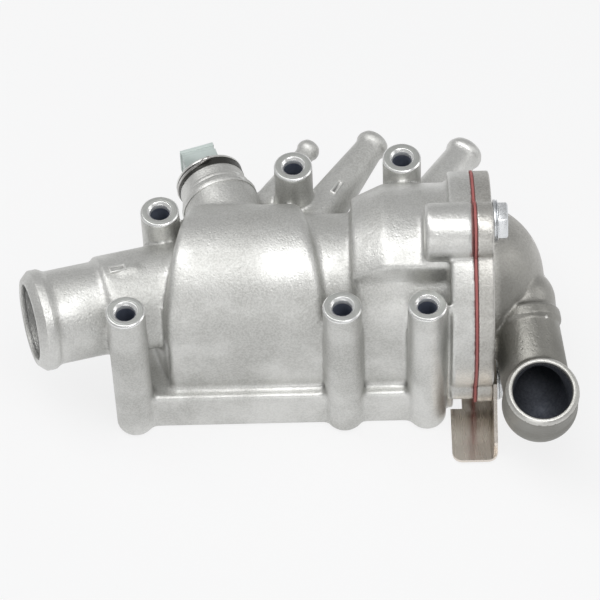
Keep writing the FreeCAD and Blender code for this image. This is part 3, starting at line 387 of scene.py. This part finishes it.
TIN = plain_finish("terminal_tin", 1.0, 0.28, colour(0.60, 0.58, 0.54), colour(0.72, 0.70, 0.66),
                   1500.0, 0.00002)

MILLED = {
    stud: milled_metal("milled_" + stud, (x * MM, y * MM, STUD_TOP * MM),
                       colour(0.62, 0.63, 0.61), colour(0.48, 0.49, 0.47))
    for stud, (x, y) in STUDS_MM.items()
}

FINISHES = {
    "mounting_seal": BLACK_RUBBER, "cover_gasket": RED_GASKET, "cover_bracket": SHEET_STEEL,
    "cover_bolt_top": ZINC, "cover_bolt_front": ZINC, "cover_bolt_rear": ZINC,
    "valve_rim_ring": BLACK_RUBBER, "valve_frame": SPRING_STEEL, "valve_bridge": SPRING_STEEL,
    "spring_cage": SPRING_STEEL, "valve_disc": BRASS, "wax_capsule": BRASS,
    "piston_pin": SPRING_STEEL, "bypass_disc": SPRING_STEEL, "main_spring": SPRING_STEEL,
    "bypass_spring": SPRING_STEEL, "sensor_body": CONNECTOR, "sensor_probe": BRASS,
    "sensor_ring": BLACK_RUBBER, "sensor_clip": WIRE, "sensor_terminal_left": TIN,
    "sensor_terminal_right": TIN, "housing_body": CAST, "outlet_cover": COVER_CAST,
}


def dress(item, material):
    """Gives a piece one material."""
    item.data.materials.clear()
    item.data.materials.append(material)


for node, finish in FINISHES.items():
    dress(NODES[node], finish)


# Modelling helpers

NODE_WELD = 0.000002
LATHE_WELD = 0.000004


def only(item):
    """Selects one piece and nothing else."""
    bpy.ops.object.select_all(action="DESELECT")
    item.select_set(True)
    bpy.context.view_layer.objects.active = item


def apply_all(item):
    """Makes every modifier of a piece part of its mesh."""
    only(item)
    for waiting in list(item.modifiers):
        bpy.ops.object.modifier_apply(modifier=waiting.name)


def modifier(item, kind, **values):
    """Adds a modifier with its settings."""
    new = item.modifiers.new(kind.lower(), kind)
    for name, value in values.items():
        setattr(new, name, value)
    return new


def weights(item, name, rule):
    """A vertex group whose weight at each vertex comes from its place in millimetres."""
    group = item.vertex_groups.new(name=name)
    for vertex in item.data.vertices:
        group.add([vertex.index], rule(vertex.co / MM), "REPLACE")
    return group.name


def loose_copy(node, name):
    """A free copy of a node's mesh, with its triangles joined up."""
    piece = NODES[node].copy()
    piece.data = NODES[node].data.copy()
    piece.name = name
    piece.data.name = name
    for key in list(piece.keys()):
        del piece[key]
    piece.parent = None
    bpy.context.scene.collection.objects.link(piece)
    only(piece)
    bpy.ops.object.mode_set(mode="EDIT")
    bpy.ops.mesh.select_all(action="SELECT")
    bpy.ops.mesh.remove_doubles(threshold=NODE_WELD)
    bpy.ops.object.mode_set(mode="OBJECT")
    return piece


def casting(node, name, grid, softenings, share, materials, part):
    """The node's shape as a real casting: its corners and edges run soft into each other.

    grid is the size of the voxels in metres, and share is how many of their faces stay. Each
    softening gives a weight rule, a number of passes and whether it also moves the height. part
    tells which of the materials a place on the surface has."""
    piece = loose_copy(node, name)
    modifier(piece, "REMESH", mode="VOXEL", voxel_size=grid, adaptivity=0.0)
    apply_all(piece)
    for rule, passes, upright in softenings:
        soft = weights(piece, rule.__name__, rule)
        modifier(piece, "SMOOTH", factor=0.5, iterations=passes, vertex_group=soft, use_z=upright)
    modifier(piece, "SMOOTH", factor=0.5, iterations=2)
    modifier(piece, "DECIMATE", ratio=share)
    apply_all(piece)
    piece.vertex_groups.clear()
    only(piece)
    bpy.ops.object.shade_smooth()
    piece.data.materials.clear()
    for material in materials:
        piece.data.materials.append(material)
    for face in piece.data.polygons:
        face.material_index = part(face.center / MM)
    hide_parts(node)
    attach(piece, "housing")


# Frames of the turned features, in millimetres

def turned_frame(origin, yaw, pitch):
    """Where a feature's own X axis points after its yaw and pitch, and its two cross axes."""
    turn = Matrix.Rotation(math.radians(yaw), 4, "Z") @ Matrix.Rotation(math.radians(pitch), 4, "Y")
    return Matrix.Translation(Vector(origin)) @ turn


NECK = turned_frame((26.8, 29.5, 39.0), 16.8, 4.4)
ELBOW = turned_frame((138.3, -17.2, 29.0), -82.1, 14.9)
SENSOR_BOSS = turned_frame((31.0, 60.4, 43.0), 108.4, 0.0)
SPIGOTS = [(turned_frame((62.5, 90.9, 39.0), 59.0, 0.0), 3.4, 45.0),
           (turned_frame((85.2, 92.6, 39.0), 59.0, 0.0), 5.2, 49.0),
           (turned_frame((117.5, 87.6, 39.0), 59.0, 0.0), 6.0, 42.0)]
NECK_INVERSE = NECK.inverted()
ELBOW_INVERSE = ELBOW.inverted()
SPIGOT_INVERSES = [(place.inverted(), tip, length) for place, tip, length in SPIGOTS]
AXIS_Y = 29.5
AXIS_Z = 39.0
COVER_FACE = 123.4
ALONG_X = Matrix.Rotation(math.radians(90.0), 4, "Y")
AGAINST_X = Matrix.Rotation(math.radians(-90.0), 4, "Y")
BOSS_AXIS = SENSOR_BOSS @ ALONG_X


def around(place):
    """Distance from a frame's X axis."""
    return math.hypot(place.y, place.z)


# Castings: where they run soft and where their rooms lie, in millimetres

SHARP, NEARLY_SHARP = 0.05, 0.06
WALL_SOFTNESS, DOME_SOFTNESS = 0.8, 0.6
MOUNTING_FACE_Z, SOLE_Z = 0.6, 1.4
JOINT_FACE_X = 108.5
TUBES_FREE_Z = 46.0
NECK_FREE_X = -8.0
SPIGOTS_FREE_Y = 70.0
NECK_BORE_R, NECK_BORE_END = 14.6, -58.0
SPIGOT_WALL, SPIGOT_LIP = 0.8, 1.2
DRUM_ROOM_X, WAIST_ROOM_X, VALVE_ROOM_X, VALVE_ROOM_END = 25.5, 60.0, 81.0, 112.0
DRUM_ROOM_R, WAIST_ROOM_R, VALVE_ROOM_R = 22.6, 20.6, 24.4
DRUM_ROOM_FLOOR = 2.0
COVER_RIM_X = 124.2
MOUTH_FREE_Z = 7.0
CROOK = Vector((140.5, 25.5, 40.0))
CROOK_REACH, CROOK_FADE = 13.0, 5.0
DOME_CENTRE = Vector((115.2, 29.5, 39.0))
DOME_ROOM_R, DOME_ROOM_X = 25.0, 115.0
ELBOW_ROOM_R = 11.3
PIPE_BORE_R, PIPE_LENGTH = 10.5, 38.0
MOUTH_BORE_R, MOUTH_TOP = 10.9, 12.2


def housing_softness(place):
    """Full on the walls, little on tubes, spigots, the joint face and the mounting face."""
    if place.z < MOUNTING_FACE_Z or place.x > JOINT_FACE_X:
        return SHARP
    for x, y in STUDS_MM.values():
        if math.hypot(place.x - x, place.y - y) < STUD_R + 0.6 and place.z > TUBES_FREE_Z:
            return SHARP
    if place.x < NECK_FREE_X or place.y > SPIGOTS_FREE_Y:
        return NEARLY_SHARP
    return WALL_SOFTNESS


def sole_softness(place):
    """The outline of the mounting face, which the grid leaves in small steps."""
    return 1.0 if place.z < SOLE_Z else 0.0


def in_housing(place):
    """Whether a place is in a coolant room or a spigot's bore."""
    local = NECK_INVERSE @ place
    if NECK_BORE_END < local.x < 0.0 and around(local) < NECK_BORE_R:
        return True
    for frame_inverse, tip, length in SPIGOT_INVERSES:
        local = frame_inverse @ place
        if -length < local.x < -SPIGOT_LIP and around(local) < tip - SPIGOT_WALL:
            return True
    across = math.hypot(place.y - AXIS_Y, place.z - AXIS_Z)
    if DRUM_ROOM_X < place.x < WAIST_ROOM_X and place.z > DRUM_ROOM_FLOOR:
        return across < DRUM_ROOM_R
    if WAIST_ROOM_X <= place.x < VALVE_ROOM_X:
        return across < WAIST_ROOM_R
    return VALVE_ROOM_X <= place.x < VALVE_ROOM_END and across < VALVE_ROOM_R


def housing_part(place):
    """0 on the outside, 1 in the coolant rooms and 2 in the stud bores."""
    for x, y in STUDS_MM.values():
        if math.hypot(place.x - x, place.y - y) < STUD_BORE_R + 0.9:
            return 2
    return 1 if in_housing(place) else 0


def cover_softness(place):
    """Full on the dome and the pipe, little on the joint face and the mouth."""
    if place.x < COVER_RIM_X or (ELBOW_INVERSE @ place).z > MOUTH_FREE_Z:
        return SHARP
    return DOME_SOFTNESS


def crook_softness(place):
    """The hollow between the dome and the root of the outlet pipe, which the casting fills."""
    away = (place - CROOK).length
    return max(0.0, min(1.0, (CROOK_REACH - away) / CROOK_FADE))


def cover_part(place):
    """0 on the outside, 1 in the dome's room and the pipe's bore."""
    local = ELBOW_INVERSE @ place
    if math.hypot(local.x, local.y) < MOUTH_BORE_R and 0.0 < local.z < MOUTH_TOP:
        return 1
    if local.length < ELBOW_ROOM_R:
        return 1
    if -PIPE_LENGTH < local.x < 0.0 and around(local) < PIPE_BORE_R:
        return 1
    return 1 if (place - DOME_CENTRE).length < DOME_ROOM_R and place.x > DOME_ROOM_X else 0


casting("housing_body", "housing_cast", grid=0.0008,
        softenings=[(housing_softness, 8, True), (sole_softness, 8, False)], share=0.55,
        materials=(CAST, INNER_SKIN_AND_SHADE, BORE_SHADE), part=housing_part)
casting("outlet_cover", "cover_cast", grid=0.0005,
        softenings=[(cover_softness, 8, True), (crook_softness, 60, True)], share=0.6,
        materials=(COVER_CAST, INNER_SKIN_AND_SHADE), part=cover_part)


# Turned pieces

def settle(item, place, body, material, sharp=30.0):
    """Puts a new piece at its place in the mesh and hands it to its body."""
    item.matrix_world = Matrix.Translation(place.to_translation() * MM) @ place.to_3x3().to_4x4()
    only(item)
    bpy.ops.object.transform_apply(location=True, rotation=True, scale=True)
    bpy.ops.object.shade_smooth_by_angle(angle=math.radians(sharp))
    dress(item, material)
    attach(item, body)
    return item


def lathe(name, steps, segments=48, edge=0.0):
    """A ring drawn out through (radius, height) steps around Z, as on a lathe, and closed.

    edge is the width of the bevel on its sharp edges."""
    radius, height = steps[0]
    bpy.context.tool_settings.mesh_select_mode = (True, False, False)
    bpy.ops.object.select_all(action="DESELECT")
    bpy.ops.mesh.primitive_circle_add(vertices=segments, radius=radius * MM,
                                      location=(0.0, 0.0, height * MM))
    item = bpy.context.active_object
    item.name = name
    item.data.name = name
    bpy.ops.object.transform_apply(location=True)
    bpy.ops.object.mode_set(mode="EDIT")
    bpy.ops.mesh.select_all(action="SELECT")
    for wide, high in steps[1:] + steps[:1]:
        bpy.ops.mesh.extrude_region_move(
            TRANSFORM_OT_translate={"value": (0.0, 0.0, (high - height) * MM)})
        share = wide / radius
        bpy.ops.transform.resize(value=(share, share, 1.0), center_override=(0.0, 0.0, high * MM))
        radius, height = wide, high
    bpy.ops.mesh.select_all(action="SELECT")
    bpy.ops.mesh.remove_doubles(threshold=LATHE_WELD)
    bpy.ops.mesh.normals_make_consistent(inside=False)
    bpy.ops.object.mode_set(mode="OBJECT")
    if edge:
        modifier(item, "BEVEL", width=edge * MM, segments=2, limit_method="ANGLE",
                 angle_limit=math.radians(25.0))
        apply_all(item)
    return item


EDGE_FINISH, LIP_FINISH = 1, 2
for stud, (x, y) in STUDS_MM.items():
    face = lathe("stud_face_" + stud, [
        (STUD_BORE_R - 0.2, STUD_TOP - 2.6), (STUD_BORE_R - 0.2, STUD_TOP - 0.85),
        (STUD_BORE_R + 0.62, STUD_TOP + 0.02), (STUD_R - 0.55, STUD_TOP + 0.02),
        (STUD_R - 0.02, STUD_TOP - 0.45), (STUD_R - 0.02, STUD_TOP - 0.9),
        (STUD_BORE_R + 0.5, STUD_TOP - 1.2), (STUD_BORE_R + 0.5, STUD_TOP - 2.6)],
        segments=64, edge=0.06)
    settle(face, Matrix.Translation((x, y, 0.0)), "housing", MILLED[stud])
    face.data.materials.append(CUT_EDGE)
    face.data.materials.append(BORE_LIP)
    for side in face.data.polygons:
        out = math.hypot(side.center.x / MM - x, side.center.y / MM - y)
        high = side.center.z / MM
        if out < STUD_BORE_R + 0.02 and high < STUD_TOP - 0.9:
            side.material_index = LIP_FINISH
        elif out < STUD_BORE_R + 0.72 or out > STUD_R - 0.5:
            side.material_index = EDGE_FINISH

mouth_rim = lathe("mouth_rim", [
    (10.05, 10.6), (10.12, 12.45), (10.45, 12.85), (11.3, 12.85), (12.1, 12.1), (12.42, 11.35),
    (12.3, 11.0), (11.0, 10.6)], segments=72, edge=0.08)
settle(mouth_rim, ELBOW, "housing", MOUTH_METAL)

neck_lip = lathe("neck_lip", [
    (13.05, 61.8), (13.1, 63.3), (13.4, 63.56), (14.85, 63.56), (15.15, 63.4), (17.2, 61.15),
    (17.38, 60.9), (17.38, 58.2), (17.2, 57.9), (16.2, 57.4), (15.4, 57.6), (15.4, 61.2)],
    segments=72, edge=0.1)
settle(neck_lip, NECK @ AGAINST_X, "housing", CAST)

for letter, (place, tip, _) in zip("abc", SPIGOTS):
    cap = lathe("spigot_lip_" + letter, [
        (tip - 1.62, -3.0), (tip - 1.62, -0.5), (tip - 1.2, 0.03), (tip - 0.1, 0.03),
        (tip + 0.55, -1.3), (tip + 0.66, -1.8), (tip + 0.66, -2.7), (tip + 0.5, -3.2),
        (tip + 0.02, -4.3), (tip - 0.7, -4.0)], segments=56, edge=0.1)
    settle(cap, place @ ALONG_X, "housing", CAST)


# Cover bolts, modelled once

def pick_faces(item, rule):
    """Selects the faces whose centre in millimetres and normal meet the rule."""
    bpy.context.tool_settings.mesh_select_mode = (False, False, True)
    for face in item.data.polygons:
        face.select = bool(rule(face.center / MM, face.normal))
    for edge in item.data.edges:
        edge.select = False
    for vertex in item.data.vertices:
        vertex.select = False


HEX_CORNER_R = 6.9


def hex_head():
    """A six-sided head, 12 mm across its flats, with a chamfered crown and a shallow dish."""
    bpy.ops.object.select_all(action="DESELECT")
    bpy.ops.mesh.primitive_cylinder_add(vertices=6, radius=HEX_CORNER_R * MM, depth=3.0 * MM,
                                        location=(0.0, 0.0, 2.9 * MM))
    head = bpy.context.active_object
    bpy.ops.object.transform_apply(location=True)
    pick_faces(head, lambda c, n: n.z > 0.9)
    bpy.ops.object.mode_set(mode="EDIT")
    bpy.ops.mesh.extrude_region_move(TRANSFORM_OT_translate={"value": (0.0, 0.0, 0.5 * MM)})
    bpy.ops.transform.resize(value=(0.86, 0.86, 1.0), center_override=(0.0, 0.0, 4.9 * MM))
    bpy.ops.mesh.inset(thickness=1.1 * MM)
    bpy.ops.transform.translate(value=(0.0, 0.0, -0.35 * MM))
    bpy.ops.object.mode_set(mode="OBJECT")
    modifier(head, "BEVEL", width=0.22 * MM, segments=3, limit_method="ANGLE",
             angle_limit=math.radians(20.0))
    apply_all(head)
    return head


def join_pieces(added, kept):
    """Joins one piece's mesh to another's."""
    only(kept)
    added.select_set(True)
    bpy.ops.object.join()


def bolt_piece():
    """Shank, flange with its washer face, and head."""
    shank = lathe("bolt_piece", [
        (0.02, -12.5), (3.2, -12.5), (3.85, -11.8), (3.85, 0.0), (7.0, 0.0), (7.15, 0.2),
        (7.15, 0.75), (6.95, 0.95), (6.4, 0.95), (6.4, 1.1), (7.0, 1.15), (7.1, 1.35), (6.2, 1.75),
        (0.02, 1.75)], edge=0.07)
    join_pieces(hex_head(), shank)
    return shank


# For each bolt: its Y and Z, how far it stands off the cover, and its turn in degrees
BOLTS = {"top": (24.3, 76.5, 0.0, 8.0), "front": (4.5, 14.5, 1.2, 21.0),
         "rear": (63.5, 24.0, 0.0, 37.0)}
pattern = bolt_piece()
for name, (y, z, proud, turn) in BOLTS.items():
    bolt = pattern.copy()
    bolt.data = pattern.data.copy()
    bolt.name = "bolt_" + name
    bolt.data.name = bolt.name
    bpy.context.scene.collection.objects.link(bolt)
    place = Matrix.Translation((COVER_FACE + proud, y, z)) @ ALONG_X
    settle(bolt, place @ Matrix.Rotation(math.radians(turn), 4, "Z"), "housing", ZINC)
    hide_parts("cover_bolt_" + name)
bpy.data.objects.remove(pattern)


# Sensor connector and its spring clip

def cube(name, low, high):
    """A block between two corners."""
    bpy.ops.object.select_all(action="DESELECT")
    bpy.ops.mesh.primitive_cube_add(size=1.0)
    item = bpy.context.active_object
    item.name = name
    item.data.name = name
    low, high = Vector(low) * MM, Vector(high) * MM
    item.location = (low + high) / 2
    item.scale = high - low
    bpy.ops.object.transform_apply(location=True, rotation=True, scale=True)
    return item


def slice_mesh(item, place, normal):
    """Cuts new edges around a piece in one plane."""
    only(item)
    bpy.ops.object.mode_set(mode="EDIT")
    bpy.ops.mesh.select_all(action="SELECT")
    bpy.ops.mesh.bisect(plane_co=Vector(place) * MM, plane_no=normal)
    bpy.ops.object.mode_set(mode="OBJECT")


SOCKET_LOW, SOCKET_HIGH = (14.3, -5.3, -5.0), (25.6, 6.9, 5.0)
RAISED_BAND = (16.4, 17.6)
SUNK_BAND = (22.6, 24.2)
SOCKET_WALL, SOCKET_DEPTH = 1.2, 7.0


def connector_piece():
    """The plug socket: a rounded block with a raised band, a sunk band and a hollow end."""
    item = cube("connector", SOCKET_LOW, SOCKET_HIGH)
    for x in RAISED_BAND + SUNK_BAND:
        slice_mesh(item, (x, 0.0, 0.0), (1.0, 0.0, 0.0))
    pick_faces(item, lambda c, n: RAISED_BAND[0] < c.x < RAISED_BAND[1] and abs(n.x) < 0.5)
    bpy.ops.object.mode_set(mode="EDIT")
    bpy.ops.mesh.extrude_region_shrink_fatten(TRANSFORM_OT_shrink_fatten={"value": 0.45 * MM})
    bpy.ops.object.mode_set(mode="OBJECT")
    pick_faces(item, lambda c, n: SUNK_BAND[0] < c.x < SUNK_BAND[1] and abs(n.x) < 0.5)
    bpy.ops.object.mode_set(mode="EDIT")
    bpy.ops.mesh.extrude_region_shrink_fatten(TRANSFORM_OT_shrink_fatten={"value": -0.4 * MM})
    bpy.ops.object.mode_set(mode="OBJECT")
    pick_faces(item, lambda c, n: n.x > 0.9 and c.x > 25.0)
    bpy.ops.object.mode_set(mode="EDIT")
    bpy.ops.mesh.inset(thickness=SOCKET_WALL * MM)
    bpy.ops.mesh.extrude_region_move(
        TRANSFORM_OT_translate={"value": (-SOCKET_DEPTH * MM, 0.0, 0.0)})
    bpy.ops.object.mode_set(mode="OBJECT")
    modifier(item, "BEVEL", width=0.7 * MM, segments=3, limit_method="ANGLE",
             angle_limit=math.radians(40.0))
    apply_all(item)
    return item


connector = connector_piece()
collar = lathe("connector_collar", [
    (0.4, 2.0), (8.35, 2.0), (8.35, 6.0), (7.3, 6.0), (7.3, 7.6), (8.35, 7.6), (8.35, 11.4),
    (9.7, 11.4), (9.7, 14.1), (9.3, 14.5), (6.0, 14.9), (0.4, 14.9)], edge=0.1)
only(collar)
collar.matrix_world = ALONG_X
bpy.ops.object.transform_apply(location=True, rotation=True, scale=True)
join_pieces(collar, connector)
settle(connector, SENSOR_BOSS, "housing", CONNECTOR)
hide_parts("sensor_body")


def wire_piece(name, points, radius):
    """A bent wire along a smooth line through the points, turned into a mesh."""
    curve = bpy.data.curves.new(name, "CURVE")
    curve.dimensions = "3D"
    curve.bevel_depth = radius * MM
    curve.bevel_resolution = 4
    curve.use_fill_caps = True
    line = curve.splines.new("NURBS")
    line.points.add(len(points) - 1)
    for point, place in zip(line.points, points):
        point.co = (place[0] * MM, place[1] * MM, place[2] * MM, 1.0)
    line.order_u = 4
    line.use_endpoint_u = True
    line.resolution_u = 8
    item = bpy.data.objects.new(name, curve)
    bpy.context.scene.collection.objects.link(item)
    only(item)
    bpy.ops.object.convert(target="MESH")
    return bpy.context.active_object


# The clip lies round the boss in its groove, and its end is bent up into a hook
CLIP_X = 12.2
CLIP_R = 11.7
clip_points = [(CLIP_X, CLIP_R * math.cos(math.radians(a)), CLIP_R * math.sin(math.radians(a)))
               for a in range(-60, 70, 8)]
clip_points += [(CLIP_X, 3.6, 11.6), (CLIP_X, 2.0, 12.9), (CLIP_X + 0.2, 0.4, 13.4),
                (CLIP_X + 0.6, -0.8, 12.7), (CLIP_X + 0.9, -0.4, 11.6), (CLIP_X + 1.2, 1.0, 11.9)]
clip = wire_piece("clip_wire", clip_points, 0.6)
settle(clip, SENSOR_BOSS, "housing", WIRE)
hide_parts("sensor_clip")
# A band of painted shade, near black, lines the clip's groove.
groove = lathe("clip_groove", [(11.2, 10.3), (11.86, 10.3), (11.86, 13.3), (11.2, 13.3)],
               segments=72)
settle(groove, BOSS_AXIS, "housing", GROOVE_SHADE)
rim = lathe("sensor_rim", [
    (10.1, 13.3), (10.1, 14.2), (10.35, 14.55), (11.5, 14.55), (12.0, 14.1), (12.0, 13.3)],
    segments=72, edge=0.08)
settle(rim, BOSS_AXIS, "housing", RIM_METAL)
for name, top, wide in (("upper", 6.3, 12.35), ("lower", 3.0, 13.5)):
    step = lathe("boss_step_" + name, [
        (wide - 1.2, top - 2.2), (wide, top - 2.2), (wide + 0.08, top - 0.6),
        (wide - 0.2, top - 0.15), (wide - 1.2, top)], segments=72, edge=0.15)
    settle(step, BOSS_AXIS, "housing", CAST)


# Springs of the valve

def spring_piece(name, node):
    """A smooth-shaded steel copy of a spring node, which takes the node's place."""
    spring = loose_copy(node, name)
    bpy.ops.object.shade_smooth_by_angle(angle=math.radians(40.0))
    dress(spring, SPRING_STEEL)
    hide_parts(node)
    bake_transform(spring)


spring_piece("main_coil", "main_spring")
spring_piece("bypass_coil", "bypass_spring")


# Raised casting marks on the neck and on the middle spigot

def raised_frame(name, length, width, height):
    """A small raised frame with rounded corners, as a pattern mark leaves it."""
    item = cube(name, (-length / 2, -width / 2, -0.8), (length / 2, width / 2, height))
    pick_faces(item, lambda c, n: n.z > 0.9)
    bpy.ops.object.mode_set(mode="EDIT")
    bpy.ops.mesh.inset(thickness=0.6 * MM)
    bpy.ops.mesh.extrude_region_move(TRANSFORM_OT_translate={"value": (0.0, 0.0, -0.3 * MM)})
    bpy.ops.object.mode_set(mode="OBJECT")
    modifier(item, "BEVEL", width=0.2 * MM, segments=2, limit_method="ANGLE",
             angle_limit=math.radians(30.0))
    apply_all(item)
    return item


def on_tube(frame_of_tube, along, turn, radius):
    """A place on a tube's wall, along its axis and turned round it in degrees."""
    return (frame_of_tube @ Matrix.Translation((along, 0.0, 0.0))
            @ Matrix.Rotation(math.radians(turn), 4, "X") @ Matrix.Translation((0.0, 0.0, radius)))


settle(raised_frame("neck_mark", 5.8, 2.9, 0.8), on_tube(NECK, -32.6, -3.0, 17.5),
       "housing", CAST)
settle(raised_frame("spigot_mark", 6.2, 2.1, 0.55), on_tube(SPIGOTS[1][0], -30.0, 15.0, 7.3),
       "housing", CAST)


# Light, floor and backdrop

def area_light(name, place, aim, size, power):
    """A soft box at a place in metres, turned to its aim."""
    data = bpy.data.lights.new(name, "AREA")
    data.shape = "RECTANGLE"
    data.size, data.size_y = size
    data.energy = power
    lamp = bpy.data.objects.new(name, data)
    bpy.context.scene.collection.objects.link(lamp)
    lamp.location = place
    lamp.rotation_euler = (Vector(aim) - Vector(place)).to_track_quat("-Z", "Y").to_euler()


MIDDLE = (0.06, 0.03, 0.03)
area_light("top_softbox", (-0.02, -0.07, 0.92), MIDDLE, (1.7, 0.48), 7.0)
area_light("front_softbox", (-0.10, -0.90, 0.30), MIDDLE, (0.8, 0.3), 1.2)
area_light("right_softbox", (0.80, 0.10, 0.40), MIDDLE, (0.4, 0.5), 0.6)


WHITE = colour(1.0, 1.0, 1.0)
FLOOR_GLOW, FLOOR_GLOW_MIRRORED = 0.80, 0.75
FLOOR_SIZE, FLOOR_PLACE = 6.0, (0.06, 0.03, -0.0001)
AMBIENT, MIRRORED_SKY = colour(0.18, 0.185, 0.20), colour(0.50, 0.50, 0.50)


def floor_material():
    """Matt white floor that reads as white to the camera but keeps the soft shadow."""
    material, graph, shader = new_material("pale_floor", 0.0, 0.8)
    shader.inputs["Base Color"].default_value = colour(0.86, 0.86, 0.86)
    path = graph.add("ShaderNodeLightPath")
    glow = graph.add("ShaderNodeEmission")
    glow.inputs["Color"].default_value = WHITE
    seen = graph.math("MULTIPLY", path.outputs["Is Camera Ray"], FLOOR_GLOW)
    mirrored = graph.math("MULTIPLY", path.outputs["Is Glossy Ray"], FLOOR_GLOW_MIRRORED)
    share = graph.math("MAXIMUM", seen, mirrored)
    mix = graph.add("ShaderNodeMixShader")
    graph.join(share, mix.inputs[0])
    graph.join(shader.outputs[0], mix.inputs[1])
    graph.join(glow.outputs[0], mix.inputs[2])
    graph.join(mix.outputs[0], material.node_tree.nodes["Material Output"].inputs["Surface"])
    return material


bpy.ops.object.select_all(action="DESELECT")
bpy.ops.mesh.primitive_plane_add(size=FLOOR_SIZE, location=FLOOR_PLACE)
floor = bpy.context.active_object
floor.name = "pale_floor"
dress(floor, floor_material())
floor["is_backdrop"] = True

world = bpy.data.worlds.new("studio")
bpy.context.scene.world = world
world.use_nodes = True
sky = Graph(world.node_tree)
background = world.node_tree.nodes["Background"]
path = sky.add("ShaderNodeLightPath")
tone = sky.blend(path.outputs["Is Glossy Ray"], AMBIENT, MIRRORED_SKY)
sky.join(sky.blend(path.outputs["Is Camera Ray"], tone, WHITE), background.inputs["Color"])
background.inputs["Strength"].default_value = 1.0

bpy.context.scene.view_settings.view_transform = "Standard"

low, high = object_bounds()
